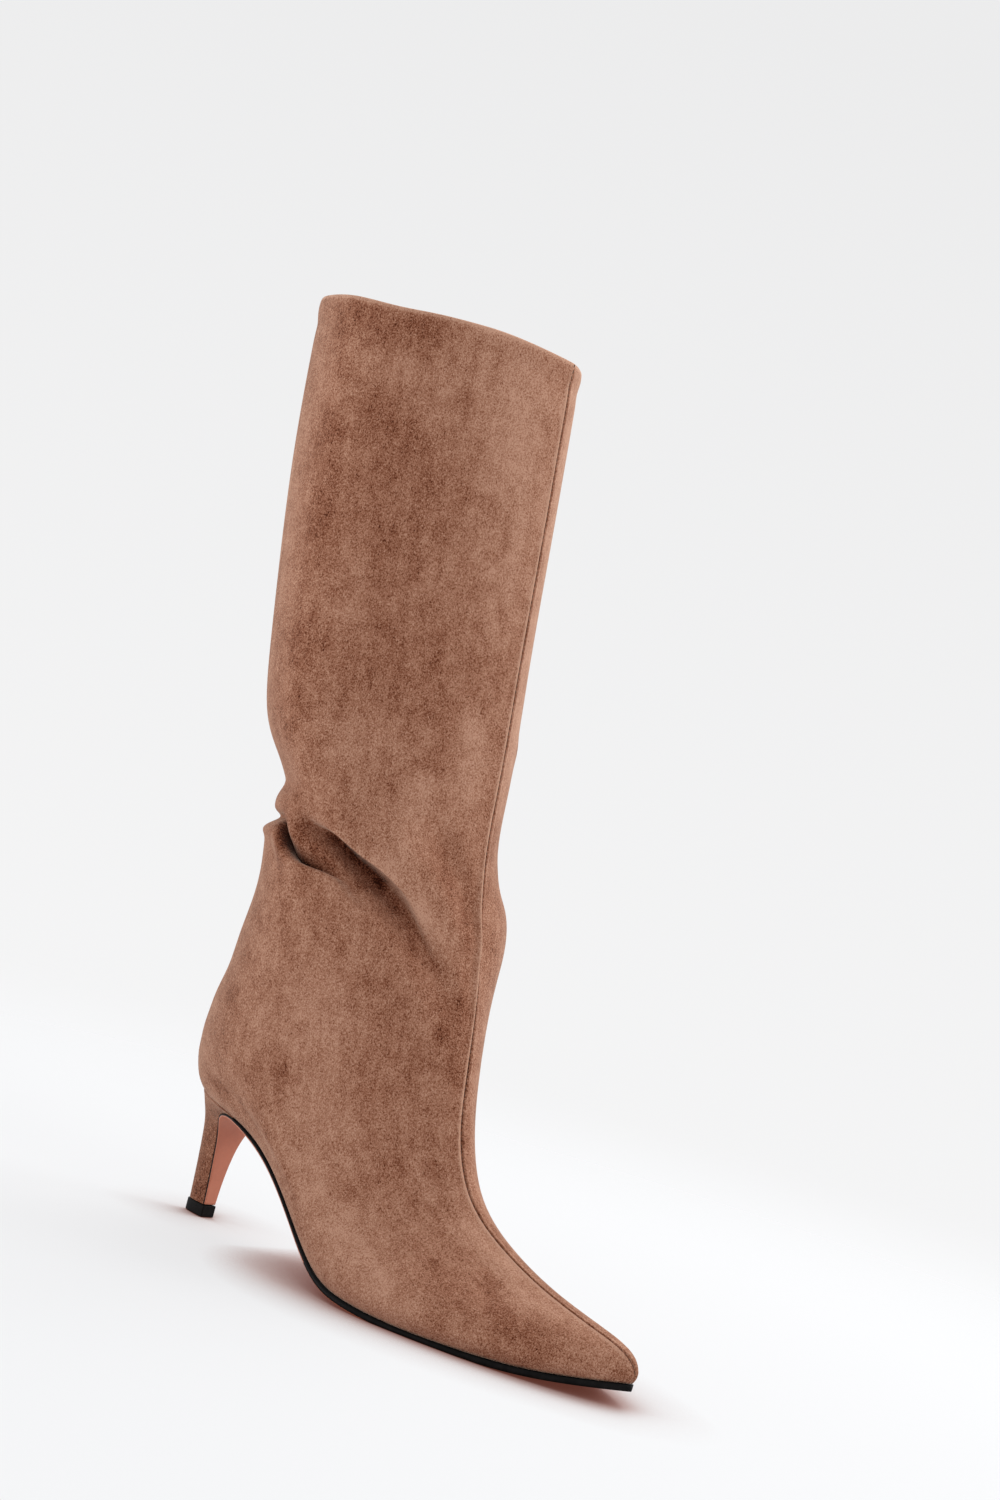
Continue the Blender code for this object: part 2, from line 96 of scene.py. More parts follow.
UNDER_SHAFT = (
    (0.05, 130, 0, 6, 12),
    (0.12, 143, 3.2, 4.6, 14),
    (0.16, 152, 4.8, 4.2, 14),
    (0.2, 159.5, 7.6, 3.8, 14),
    (0.24, 164.5, 10.2, 3.4, 13.5),
    (0.285, 169, 11.5, 3.4, 13),
    (0.345, 173, 12, 3.4, 12),
    (0.39, 176.8, 11, 3.4, 10),
    (0.43, 179.5, 9, 3.6, 9.5),
    (0.47, 180, 7, 4, 9),
    (0.51, 179.8, 4, 4.6, 8),
    (0.555, 180, 0, 5, 6),
)
BEHIND_LIP = (
    (0.3, 154, 0, 7, 4),
    (0.36, 160.5, 3, 6, 3.4),
    (0.4, 163.5, 4.5, 6, 2.8),
    (0.445, 164.2, 6, 6, 2.4),
    (0.497, 164.2, 7, 6, 2.2),
    (0.53, 165.2, 7, 6, 2.2),
    (0.56, 168.2, 6.4, 5.5, 2.2),
    (0.585, 173, 5.8, 4.5, 2.2),
    (0.61, 177, 5, 3.4, 2.4),
    (0.64, 178.4, 4.5, 2.8, 2.6),
    (0.75, 178, 4, 3, 2.8),
    (0.87, 177.3, 5, 4, 3.5),
    (1, 176.5, 5.5, 5, 4),
    (1.25, 174, 4.5, 6, 5),
    (1.45, 170, 2, 6, 6),
    (1.6, 166, 0, 6, 6),
)
WAIST = (
    (0.4, 188, 0, 16, 9),
    (0.5, 193, 3.5, 17, 7),
    (0.6, 194.5, 6.5, 18, 6.5),
    (0.8, 194.5, 7.5, 18, 7),
    (1.1, 193, 7.5, 18, 9),
    (1.35, 191, 4, 17, 10),
    (1.55, 188, 0, 16, 10),
)
OVER_INSTEP = same_reach(
    17, 17,
    (1.55, 168, 0), (1.7, 164, 2), (1.83, 160, 3.8), (1.93, 157, 2.4), (2, 155, 0),
)
FOLDS = (UNDER_SHAFT, BEHIND_LIP, WAIST)
BULGES = (OVER_INSTEP,)

# The shaft's lower edge slides down over the fold, and the lip under it rolls up over its pocket. Here
# the depth is how far a point moves down, or up, along the surface.
SHAFT_EDGE = same_reach(
    9, 3.5,
    (0.07, 134.3, 0), (0.12, 146, 2.5), (0.16, 156.5, 4), (0.2, 166, 5.8), (0.24, 171.8, 6.7),
    (0.285, 176, 6.5), (0.345, 180.2, 6.5), (0.39, 183.8, 6), (0.43, 185.3, 4.5), (0.47, 184.5, 2.2),
    (0.51, 183.8, 0),
)
POCKET_FLOOR = same_reach(
    4, 2.5,
    (0.37, 161.5, 0), (0.41, 164.2, 1.6), (0.445, 164.6, 2.6), (0.497, 164.6, 3), (0.53, 165.6, 3),
    (0.56, 168.6, 2.8), (0.585, 173.4, 2), (0.61, 177, 0),
)
LIP_EDGE = same_reach(
    2.5, 5,
    (0.35, 158, 0), (0.4, 161, 1.4), (0.445, 161.3, 2.4), (0.497, 161.4, 3.2), (0.53, 162.4, 3.6),
    (0.56, 165.4, 3.6), (0.585, 170.2, 3), (0.61, 174.2, 1.9),
) + same_reach(2.5, 4, (0.642, 175.8, 1), (0.8, 174.5, 0.6), (1, 173, 0))
SLID_DOWN = (SHAFT_EDGE, POCKET_FLOOR)
SLID_UP = (LIP_EDGE,)

# Softer creases: the height of a ridge, or its depth if it is negative, its reach, and its line of
# (level, turn) points
CREASES = (
    (1.8, 7, ((193, 0.3), (183, 0.25), (173, 0.18), (167, 0.12), (153.5, 0.055), (142, 0.017))),
    (-1.8, 5.5, ((196, 0.16), (180, 0.11), (167, 0.06), (149, 0.04))),
    (1, 5, ((187, 0.75), (187, 0.62), (186, 0.54), (184, 0.46))),
    (1.8, 3, ((173, 1), (173.5, 0.8), (173.5, 0.68), (171.5, 0.61), (165, 0.572), (160.5, 0.53),
        (159.5, 0.47), (159.5, 0.4))),
    (-3.5, 9, ((182, 0.4), (184, 0.52), (184, 0.65), (184, 0.8), (184, 0.95))),
    (-0.5, 3, ((76, 0.16), (60, 0.25), (48, 0.325), (30, 0.4), (14, 0.475))),
    (0.5, 4, ((70, 0.15), (54, 0.245), (42, 0.32), (24, 0.4))),
    (-0.7, 3.5, ((48, 0.06), (38, 0.1), (30, 0.135), (16, 0.185))),
    (-0.5, 5, ((236, 1.55), (240, 1.72), (238, 1.9))),
    (0.6, 6, ((226, 1.58), (229, 1.75), (227, 1.92))),
    (-1, 6, ((186, 1.6), (176, 1.72), (168, 1.9))),
    (-0.8, 7, ((120, 1.35), (108, 1.5), (92, 1.7))),
    (0.7, 9, ((205, 0.3), (214, 0.42), (212, 0.52))),
    (-0.6, 9, ((222, 0.2), (228, 0.34), (230, 0.46))),
)

# Painted shade, painted highlights and lighter and darker marks in the nap: their tone, reach and line of
# (level, turn) points
PAINTED_LIGHT_AND_NAP_MARKS = (
    # shaft: painted shade down its middle, painted highlights down its front by the seam and on the medial
    # strip, and lighter and darker patches
    (-0.16, 9, ((383, 0.66), (384, 0.52), (385, 0.38), (386, 0.22))),
    (-0.09, 16, ((375, 0.4), (345, 0.385), (305, 0.36), (270, 0.28))),
    (0.13, 13, ((392, 0.13), (372, 0.135), (350, 0.15), (322, 0.16))),
    (0.08, 9, ((264, 0.12), (248, 0.1), (234, 0.1), (222, 0.11))),
    (-0.13, 9, ((352, 0.56), (328, 0.54), (303, 0.53), (278, 0.53))),
    (-0.08, 10, ((265, 0.55), (255, 0.52), (240, 0.5))),
    (-0.12, 13, ((268, 0.38), (246, 0.31), (226, 0.28))),
    (0.09, 9, ((318, 0.64), (285, 0.62), (250, 0.61), (215, 0.6))),
    (-0.06, 7, ((268, 0.09), (255, 0.075), (240, 0.085))),
    (0.17, 8, ((240, 0.095), (226, 0.085), (212, 0.08), (198, 0.085))),
    (0.18, 13, ((440, 0.05), (392, 0.055), (350, 0.065), (300, 0.075), (250, 0.1))),
    (0.18, 12, ((440, 1.93), (380, 1.94), (300, 1.94), (230, 1.94), (160, 1.95))),
    # painted highlights on the edge that hangs over the fold, and painted shade under it and in the pocket
    # behind
    (0.14, 6.5, ((192, 0.29), (181, 0.25), (169, 0.2), (157.2, 0.133), (146.4, 0.075), (135.6, 0.03),
        (125.4, 0.02))),
    (-0.09, 4.5, ((184, 0.12), (174, 0.105), (164, 0.083), (152, 0.055), (143, 0.03))),
    (-0.32, 3, ((181.2, 0.47), (178.8, 0.42), (175.2, 0.37), (171.5, 0.32), (167, 0.27), (161, 0.222))),
    (-0.1, 3, ((171.5, 0.32), (167, 0.27), (161, 0.222), (153.2, 0.175), (145.2, 0.135), (136.7, 0.1))),
    (-0.07, 7, ((175.2, 0.4), (167, 0.32), (156, 0.25), (143.9, 0.19), (133.4, 0.15))),
    (-0.16, 4, ((177, 0.57), (174.5, 0.51), (171, 0.45), (167.5, 0.39))),
    (0.22, 3, ((186.2, 0.5), (185.5, 0.46), (183.2, 0.4), (179.3, 0.345), (175, 0.285), (170, 0.24),
        (163.9, 0.195), (155.4, 0.15), (145.9, 0.11))),
    (0.15, 10, ((215, 0.19), (200, 0.2), (188, 0.2), (176, 0.17))),
    # foot: painted shade along the vamp's creases and down the instep under the fold, painted light along
    # the sole and up the lateral side, and lighter patches on the vamp and toe
    (-0.13, 7, ((150, 0.05), (135, 0.04), (112, 0.045), (88, 0.05))),
    (-0.08, 3, ((82, 0.09), (68, 0.2), (58, 0.3), (41, 0.4), (20, 0.46))),
    (-0.12, 2, ((44, 0.08), (33, 0.12), (21, 0.165), (8, 0.2))),
    (0.12, 8, ((72, 0.05), (54, 0.033), (40, 0.03), (28, 0.03))),
    (0.09, 13, ((66, 0.52), (46, 0.48), (26, 0.43), (12, 0.36), (4, 0.28))),
    (0.14, 8, ((64, 0.07), (48, 0.065), (34, 0.07), (20, 0.08))),
    (0.1, 10, ((40, 0.06), (24, 0.05), (12, 0.05), (4, 0.06), (-6, 0.08))),
    (0.15, 17, ((146, 0.36), (118, 0.36), (90, 0.36), (60, 0.4), (30, 0.44), (8, 0.46))),
    (0.06, 8, ((120, 0.65), (98, 0.64), (80, 0.62), (60, 0.64))),
    (-0.12, 2.2, ((8, 0.8), (11, 0.83), (17, 0.76), (20, 0.7))),
    (0.08, 12, ((4, 0.75), (5, 0.6), (6, 0.45), (5, 0.3), (4, 0.15))),
    # painted shade in the slit behind the fold's lip, and the dark line over the heel
    (-0.6, 2.1, ((182, 0.64), (177, 0.605), (171.5, 0.578), (167, 0.55), (165, 0.52), (164.4, 0.46),
        (163.5, 0.37))),
    (-0.24, 0.9, ((0, 0.58), (0, 0.74), (0, 1), (0, 1.26), (0, 1.42))),
)
# Round smudges: tone, reach, level and turn
SMUDGES = (
    (0.1, 15, 368, 0.36), (-0.15, 5, 81, 0.475), (-0.4, 0.7, 80, 0.483), (-0.4, 0.6, 85, 0.475),
    (-0.3, 0.5, 83, 0.468), (-0.04, 6, 8, 0.25), (-0.08, 6, 15, 0.15), (-0.08, 9, 88, 0.7),
)
FOLD_SHADE, FOLD_SHADE_DEPTH = -0.12, 9.0  # painted shade in the folds, full at this depth
FOLD_SHADE_POWER = 1.5
SEAM_HIGHLIGHT, SEAM_LIGHT_AT, SEAM_LIGHT_REACH = 0.48, 0.9, 0.5  # painted highlight along the seam's lateral ridge
SEAM_SHADE, SEAM_DARK_REACH = -0.35, 0.35  # and painted shade in its groove
SEAM_TONE_FROM, SEAM_TONE_END = (2.0, 18.0), (4.0, 12.0)  # above the sole, and below the collar
RIM_HIGHLIGHT, RIM_LIGHT_REACH = 0.42, 1.2  # painted highlight along the collar's edge
TURN_LENGTH = 160.0  # round the ankle from the seam to the back, in millimetres

# Sole, heel and insole, as in their solids
SOLE_MARGIN = 0.9
FOREFOOT_THICK, SHANK_THICK, FLAP_THICK = 2.6, 1.7, 1.0
FLAP_TO_SHANK = (20.0, 60.0)
SHANK_TO_FOREFOOT = (90.0, 135.0)
SHANK_STATIONS, FOREFOOT_STATIONS = (48.0, 120.0, 24), 90
TOE_FROM, TOE_TO = 150.0, 200.0
TOE_CROWDING = 1.8
TOE_BLUNTING = 0.25
BREAST_COLUMNS = ("x", "z", "half_width")
BREAST = (
    (15.1, 5.5, 3.1), (15.2, 15.5, 3.8), (15.5, 23.5, 4.8), (16, 29.5, 5.8), (16.7, 34.5, 7.1),
    (18, 39.5, 9.4), (21.2, 43.7, 13.2), (27.2, 46.6, 17.5), (34, 47.7, 21), (40, 47.8, 23.6),
)
BREAST_ROWS = 60
HEEL_BACK = (3.4, 2.6, 2.0, 1.8)  # x of its back, from the tip up to the seat
HEEL_POINTS = 49
HEEL_TONE = -0.15
HEEL_NAP_WIDTH, HEEL_NAP_HEIGHT = 30.0, 50.0
TOP_PIECE_HEIGHT = 5.0
TOP_PIECE_BACK, TOP_PIECE_BREAST, TOP_PIECE_HALF_WIDTH = 2.6, 16.2, 3.6
TOP_PIECE_POINTS, TOP_PIECE_BEVEL = 33, 0.4
INSOLE_THICK = 2.0
INSOLE_THINNING, INSOLE_CROWN_POWER = 0.35, 6  # its sides are thinner than its middle
INSOLE_CLEARANCE = 0.8
INSOLE_STATIONS, INSOLE_POINTS = 90, 14

# View
CAMERA_AZIMUTH, CAMERA_ELEVATION, CAMERA_ROLL = 42.6, 0.35, 15.0
CAMERA_DISTANCE = 1160.0
CAMERA_TARGET = (99.9, 9.0, 220.6)
LENS = 69.6


# ---- curves and sections


def columns(names, rows):
    """The columns of a table, by name."""
    return dict(zip(names, np.array(rows, float).T))


def smooth_through(knots, rows):
    """A function that interpolates the rows with a natural cubic spline over the knots."""
    knots, rows = np.asarray(knots, float), np.asarray(rows, float)
    step = np.diff(knots)
    bend = np.zeros_like(rows)
    system = np.eye(len(knots))
    for i in range(1, len(knots) - 1):
        system[i, i - 1 : i + 2] = step[i - 1], 2 * (step[i - 1] + step[i]), step[i]
        bend[i] = 6 * ((rows[i + 1] - rows[i]) / step[i] - (rows[i] - rows[i - 1]) / step[i - 1])
    bend = np.linalg.solve(system, bend)

    def at(where):
        where = np.atleast_1d(np.asarray(where, float))
        i = np.clip(np.searchsorted(knots, where, side="right") - 1, 0, len(step) - 1)
        h = step[i][:, None]
        after = where[:, None] - knots[i][:, None]
        before = h - after
        curve = (bend[i] * before**3 + bend[i + 1] * after**3) / (6 * h)
        line = (rows[i] / h - bend[i] * h / 6) * before + (rows[i + 1] / h - bend[i + 1] * h / 6) * after
        return curve + line

    return at


def smoothstep(value, start, end):
    """0 up to the start and 1 from the end on, with a soft rise between."""
    share = np.clip((value - start) / (end - start), 0.0, 1.0)
    return share * share * (3 - 2 * share)


def bump(value, centre, reach):
    """1 at the centre, fading away to both sides."""
    return np.exp(-(((value - centre) / reach) ** 2))


def running_length(points):
    """Distance along a line of points, from 0 at its first one."""
    return np.concatenate([[0.0], np.cumsum(np.linalg.norm(np.diff(points, axis=0), axis=1))])


feather = columns(FEATHER_COLUMNS, FEATHER_LINE)
feather_spline = smooth_through(feather["x"], feather["z"][:, None])
SECTION_TABLE = np.array(SECTIONS)
SECTION_LEVELS = (running_length(SECTION_TABLE[:, 0:3]) + running_length(SECTION_TABLE[:, 3:5])) / 2
COLLAR_LEVEL = SECTION_LEVELS[-1]
section_at = smooth_through(SECTION_LEVELS, SECTION_TABLE)


def feather_height(x):
    """Height of the feather line at x."""
    return feather_spline(x)[:, 0]


def sole_dip(share):
    """How far the feather line hangs below its own chord, at each share of the way to the toe."""
    start, end = SECTION_TABLE[0, 3], SECTION_TABLE[0, 0]
    line = feather_height(start + (end - start) * share)
    return line - (line[share.argmin()] * (1 - share) + line[share.argmax()] * share)


def half_widths(share, row):
    """Half width of a section at each share of its length from the back point to the front one."""
    width = row["heel"] + (row["ball"] - row["heel"]) * smoothstep(share, BALL_FROM, BALL_TO)
    back = 1 - (1 - np.clip(share / row["back_reach"], 0, 1)) ** 2
    front = 1 - (1 - np.clip((1 - share) / row["front_reach"], 0, 1)) ** FRONT_FULLNESS
    return width * np.sqrt(back) * front ** row["front_point"]


def lean_back(points, angle):
    """The points turned back about the ankle by an angle in degrees."""
    cosine, sine = np.cos(np.radians(angle)), np.sin(np.radians(angle))
    x, z = points[:, 0] - ANKLE[0], points[:, 2] - ANKLE[1]
    turned = points.copy()
    turned[:, 0] = ANKLE[0] + cosine * x - sine * z
    turned[:, 2] = ANKLE[1] + sine * x + cosine * z
    return turned


def section_ring(level, turn):
    """The points of one section at these turns, before any fold."""
    row = dict(zip(SECTION_COLUMNS, section_at(level)[0]))
    share = 0.5 * (1 + np.cos(np.linspace(0, np.pi, SECTION_POINTS)))
    x = row["back_x"] + (row["front_x"] - row["back_x"]) * share
    z = row["back_z"] + (row["front_z"] - row["back_z"]) * share + row["sole"] * sole_dip(share)
    inward = np.clip((share - INWARD_CURVE_FROM) / (1 - INWARD_CURVE_FROM), 0, 1)
    middle = row["front_y"] * inward**INWARD_CURVE_POWER
    width = half_widths(share, row)
    arch = 1 - ARCH_CUT * row["sole"] * bump(share, ARCH_AT, ARCH_REACH)
    ring = np.zeros((len(turn), 3))
    lateral = turn <= 1
    sides = ((lateral, middle - width, turn), (~lateral, middle + width * row["medial"] * arch, 2 - turn))
    for chosen, y, along in sides:
        line = np.stack([x, y, z], axis=1)
        run = running_length(line)
        for k in range(3):
            ring[chosen, k] = np.interp(along[chosen] * run[-1], run, line[:, k])
    return lean_back(ring, SHAFT_LEAN * row["lean"])


def outward_normals(grid):
    """Unit normals of a grid of rings, pointing out of the boot."""
    along = np.gradient(grid, axis=0)
    around = np.roll(grid, -1, axis=1) - np.roll(grid, 1, axis=1)
    normal = np.cross(along, around)
    return normal / np.linalg.norm(normal, axis=2, keepdims=True)


def fold_depth(level, turn, folds):
    """How far the folds draw the upper in, for arrays of levels and turns."""
    drawn = np.zeros(np.broadcast(level, turn).shape)
    for fold in folds:
        rows = np.array(fold)
        first, last = rows[0, 0], rows[-1, 0]
        along = smooth_through(rows[:, 0], rows[:, 1:])(np.clip(turn, first, last).ravel())
        here = dict(zip(FOLD_COLUMNS[1:], along.T.reshape((-1,) + np.shape(turn))))
        depth = np.where((turn > first) & (turn < last), np.clip(here["depth"], 0, None), 0)
        reach = np.where(level > here["level"], here["above"], here["below"])
        drawn += depth * bump(level, here["level"], reach)
    return drawn


# ---- relief of the suede

SEAM_GROOVE, SEAM_GROOVE_REACH = 0.5, 0.32
SEAM_RIDGE, SEAM_RIDGE_AT, SEAM_RIDGE_REACH = 0.35, 1.0, 0.6
PINCH, PINCH_AT, PINCH_REACH = 1.5, 0.9, 1.1  # over the instep the seam stands up in a thin ridge
PINCHED_LEVEL, PINCHED_REACH, PINCHED_GROOVE = 152.0, 24.0, 0.5
SEAM_END_FADE = (0.5, 6.0)  # below the collar's edge, where the seam flattens out
SEAM_SHIFT, SEAM_SHIFT_FROM, SEAM_SHIFT_TO = 0.019, (-2.0, 24.0), (80.0, 140.0)
HEM_ROLL, HEM_AT, HEM_REACH = 0.5, 3.5, 4.0  # the turned edge of the collar, from the edge down
HEM_GROOVE, HEM_GROOVE_AT = 0.25, 10.0
RIM = 1.1  # rounding of the collar's edge
# Depth, turn and reach of each place where the collar sags, or rises
COLLAR_DIPS = ((0.9, 0.42, 0.08), (0.7, 1.05, 0.15), (-0.8, 1.35, 0.12), (0.6, 1.62, 0.1))
COLLAR_ARCH = 4.8  # the collar stands up at the lateral front, between these turns
COLLAR_ARCH_FROM, COLLAR_ARCH_TO = (1.90, 2.22), (0.69, 0.86)
COLLAR_LIFT, COLLAR_DIP_HEIGHT = 1.5, 30.0
LINE_FADE = 0.25  # share of a crease or mark over which each of its ends fades


def seam_relief(level, around):
    """The sewn front seam, a groove between two low ridges; around is how far lateral of it a point is."""
    pinched = bump(level, PINCHED_LEVEL, PINCHED_REACH)
    groove = -SEAM_GROOVE * (1 - PINCHED_GROOVE * pinched) * bump(around, 0.0, SEAM_GROOVE_REACH)
    ridges = bump(around, SEAM_RIDGE_AT, SEAM_RIDGE_REACH) + bump(around, -SEAM_RIDGE_AT, SEAM_RIDGE_REACH)
    relief = groove + SEAM_RIDGE * ridges + PINCH * pinched * bump(around, PINCH_AT, PINCH_REACH)
    return relief * smoothstep(COLLAR_LEVEL - level, *SEAM_END_FADE)


def hem_relief(level):
    """The collar's turned hem: a soft roll with a groove under it, and a rounded edge."""
    below = COLLAR_LEVEL - level
    rim = RIM * (1 - np.sqrt(1 - np.clip(1 - below / RIM, 0, 1) ** 2))
    groove = HEM_GROOVE * bump(below, HEM_GROOVE_AT, HEM_REACH)
    return HEM_ROLL * bump(below, HEM_AT, HEM_REACH) - groove - rim


def collar_dip(level, turn):
    """How far the soft collar sags below a flat cut."""
    past_front = np.where(turn < 1, turn + 2, turn)
    arch = smoothstep(past_front, *COLLAR_ARCH_FROM) * (1 - smoothstep(past_front - 2, *COLLAR_ARCH_TO))
    sag = COLLAR_ARCH * (1 - arch) - COLLAR_LIFT
    sag = sag + sum(depth * bump((turn - at + 1) % 2 - 1, 0, reach) for depth, at, reach in COLLAR_DIPS)
    return sag * smoothstep(level, COLLAR_LEVEL - COLLAR_DIP_HEIGHT, COLLAR_LEVEL)


def line_strength(level, turn, line, reach):
    """1 on a line of (level, turn) points, fading across it over the reach and out at its ends."""
    knots = np.arange(len(line))
    points = smooth_through(knots, np.array(line))(np.linspace(0, knots[-1], 3 * len(line)))
    points *= (1.0, TURN_LENGTH)
    across = turn * TURN_LENGTH
    nearest = np.full(np.broadcast(level, turn).shape, 1e9)
    share = np.zeros_like(nearest)
    for k, (start, end) in enumerate(zip(points, points[1:])):
        step = end - start
        along = ((level - start[0]) * step[0] + (across - start[1]) * step[1]) / (step @ step)
        held = np.clip(along, 0, 1)
        off = np.hypot(level - start[0] - held * step[0], across - start[1] - held * step[1])
        share = np.where(off < nearest, (k + held) / (len(points) - 1), share)
        nearest = np.minimum(nearest, off)
    return bump(nearest, 0, reach) * smoothstep(share, 0, LINE_FADE) * smoothstep(1 - share, 0, LINE_FADE)


def turns_at(levels, turn):
    """The turns of each ring's points. Over the foot they run lateral of the front, as the seam does."""
    level = np.asarray(levels)[:, None]
    shift = SEAM_SHIFT * smoothstep(level, *SEAM_SHIFT_FROM) * (1 - smoothstep(level, *SEAM_SHIFT_TO))
    return turn[None, :] + shift


def bare_surface(levels, turn):
    """The upper before any fold, as a grid of rings, and unit vectors out of it and down along it."""
    grid = np.array([section_ring(level, ring % 2) for level, ring in zip(levels, turns_at(levels, turn))])
    down = -np.gradient(grid, np.asarray(levels), axis=0)
    return grid, outward_normals(grid), down / np.linalg.norm(down, axis=2, keepdims=True)


def suede_surface(levels, turn):
    """The outside of the suede as a grid of rings, with its folds and seam, and its outward normals."""
    grid, out, down = bare_surface(levels, turn)
    level, turn = np.asarray(levels)[:, None], turns_at(levels, turn)
    raised = fold_depth(level, turn, BULGES) - fold_depth(level, turn, FOLDS)
    for height, reach, line in CREASES:
        raised += height * line_strength(level, turn, line, reach)
    raised += hem_relief(level)
    slid = fold_depth(level, turn, SLID_DOWN) - fold_depth(level, turn, SLID_UP) + collar_dip(level, turn)
    grid += raised[:, :, None] * out + slid[:, :, None] * down
    steps = np.linalg.norm(np.roll(grid, -1, axis=1) - grid, axis=2)
    lateral = np.concatenate([np.zeros((len(levels), 1)), np.cumsum(steps, axis=1)[:, :-1]], axis=1)
    whole = steps.sum(axis=1, keepdims=True)
    around = np.where(lateral > whole / 2, lateral - whole, lateral)
    grid += seam_relief(level, around)[:, :, None] * outward_normals(grid)
    return grid, outward_normals(grid)


def nap_tone_and_painted_light(levels, turn):
    """How much lighter or darker each point of the upper is than the nap's even tone: marks and smudges in
    the nap, painted shade in the folds and the seam's groove, and painted highlights on the seam's ridge,
    the collar's edge and the fold's overhanging edge.
    """
    from_seam = ((turn[None, :] + 1) % 2 - 1) * TURN_LENGTH
    level, turn = np.asarray(levels)[:, None], turns_at(levels, turn)
    folded = np.clip(fold_depth(level, turn, (UNDER_SHAFT, BEHIND_LIP)) / FOLD_SHADE_DEPTH, 0, 1)
    tone = FOLD_SHADE * folded**FOLD_SHADE_POWER
    for amount, reach, line in PAINTED_LIGHT_AND_NAP_MARKS:
        tone += amount * line_strength(level, turn, line, reach)
    for amount, reach, at_level, at_turn in SMUDGES:
        tone += amount * bump(np.hypot(level - at_level, (turn - at_turn) * TURN_LENGTH), 0, reach)
    seam = SEAM_HIGHLIGHT * bump(from_seam, SEAM_LIGHT_AT, SEAM_LIGHT_REACH)
    seam += SEAM_SHADE * bump(from_seam, 0, SEAM_DARK_REACH)
    tone += seam * smoothstep(COLLAR_LEVEL - level, *SEAM_TONE_END) * smoothstep(level, *SEAM_TONE_FROM)
    tone += RIM_HIGHLIGHT * smoothstep(level, COLLAR_LEVEL - RIM - RIM_LIGHT_REACH, COLLAR_LEVEL - RIM)
    return tone


INSIDE_CLEARANCE, FOLD_CLEARANCE = 0.7, 1.5  # kept from the suede's creases, and more among the folds
CLEARANCE_SHIFTS = [(up, along) for up in (-7, -3.5, 0, 3.5, 7) for along in (-0.03, 0, 0.03)]
CLEAR_FROM, CLEAR_END = (10.0, 30.0), (12.0, 30.0)  # above the feather line, and below the collar
FOLDED_FROM, FOLDED_TO, FOLDED_FADE = 105.0, 245.0, 20.0


def inner_surface(levels, turn, inset):
    """A surface inside the suede that stays clear of its folds: they are wider and smoother there."""
    grid, out, down = bare_surface(levels, turn)
    level, turn = np.asarray(levels)[:, None], turns_at(levels, turn)
    depths = [fold_depth(level + up, turn + along, FOLDS) for up, along in CLEARANCE_SHIFTS]
    middle = smoothstep(level, *CLEAR_FROM) * smoothstep(COLLAR_LEVEL - level, *CLEAR_END)
    folded = smoothstep(level - FOLDED_FROM, 0, FOLDED_FADE) * smoothstep(FOLDED_TO - level, 0, FOLDED_FADE)
    inward = inset + np.max(depths, axis=0) + INSIDE_CLEARANCE * middle + FOLD_CLEARANCE * folded
    return grid - inward[:, :, None] * out + collar_dip(level, turn)[:, :, None] * down


# ---- meshes


def in_frame(points):
    """Points of the layout, in the frame's metres."""
    moved = np.array(points, float)
    moved[..., 0] -= HEEL_TIP_X
    return moved * MM


def add_piece(name, points, faces, surfaces, uvs=None, kinds=None):
    """A smooth-shaded mesh object riding on the boot's one body."""
    data = bpy.data.meshes.new(name)
    data.from_pydata(in_frame(points).tolist(), [], [tuple(face) for face in faces])
    if uvs is not None:
        layer = data.uv_layers.new(name="nap")
        layer.data.foreach_set("uv", np.asarray(uvs, np.float32).ravel())
    for surface in surfaces:
        data.materials.append(surface)
    if kinds is not None:
        data.polygons.foreach_set("material_index", np.asarray(kinds, np.int32))
    data.shade_smooth()
    data.update()
    piece = bpy.data.objects.new(name, data)
    bpy.context.scene.collection.objects.link(piece)
    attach(piece, "root")
    return piece


def loft_faces(rings, points, closed):
    """Quads between consecutive rings of equal length; closed joins the last ring to the first."""
    ring = np.arange(rings if closed else rings - 1)
    i, j = np.meshgrid(ring, np.arange(points), indexing="ij")
    k, m = (i + 1) % rings, (j + 1) % points
    corners = np.stack([i * points + j, i * points + m, k * points + m, k * points + j], axis=-1)
    return corners.reshape(-1, 4), (i, j)


def loft_piece(name, rings, surfaces, closed=False, uv_size=None, kind_of_face=None):
    """A piece skinned over rings; uv_size is the width and the heights of the rings in the nap's map."""
    rings = np.asarray(rings)
    count, around = rings.shape[:2]
    faces, (i, j) = loft_faces(count, around, closed)
    uvs = None
    if uv_size is not None:
        u, v = uv_size
        u = np.append(u, u[-1] + (u[-1] - u[-2]))
        left, right = u[j].ravel(), u[j + 1].ravel()
        low, high = v[i].ravel(), v[(i + 1) % count].ravel()
        uvs = np.stack([left, low, right, low, right, high, left, high], axis=1)
    kinds = None if kind_of_face is None else np.asarray(kind_of_face)[i, j].ravel()
    faces = faces.tolist()
    if not closed:
        faces.append(list(range(around))[::-1])
        faces.append([(count - 1) * around + k for k in range(around)])
        if uvs is not None:
            uvs = np.concatenate([uvs.reshape(-1, 2), np.zeros((2 * around, 2))])
        if kinds is not None:
            kinds = np.concatenate([kinds, [kinds[0], kinds[0]]])
    return add_piece(name, rings.reshape(-1, 3), faces, surfaces, uvs, kinds)


# ---- materials


def set_inputs(node, **values):
    """Sets constants on a node's inputs by name."""
    for name, value in values.items():
        node.inputs[name.replace("_", " ")].default_value = value


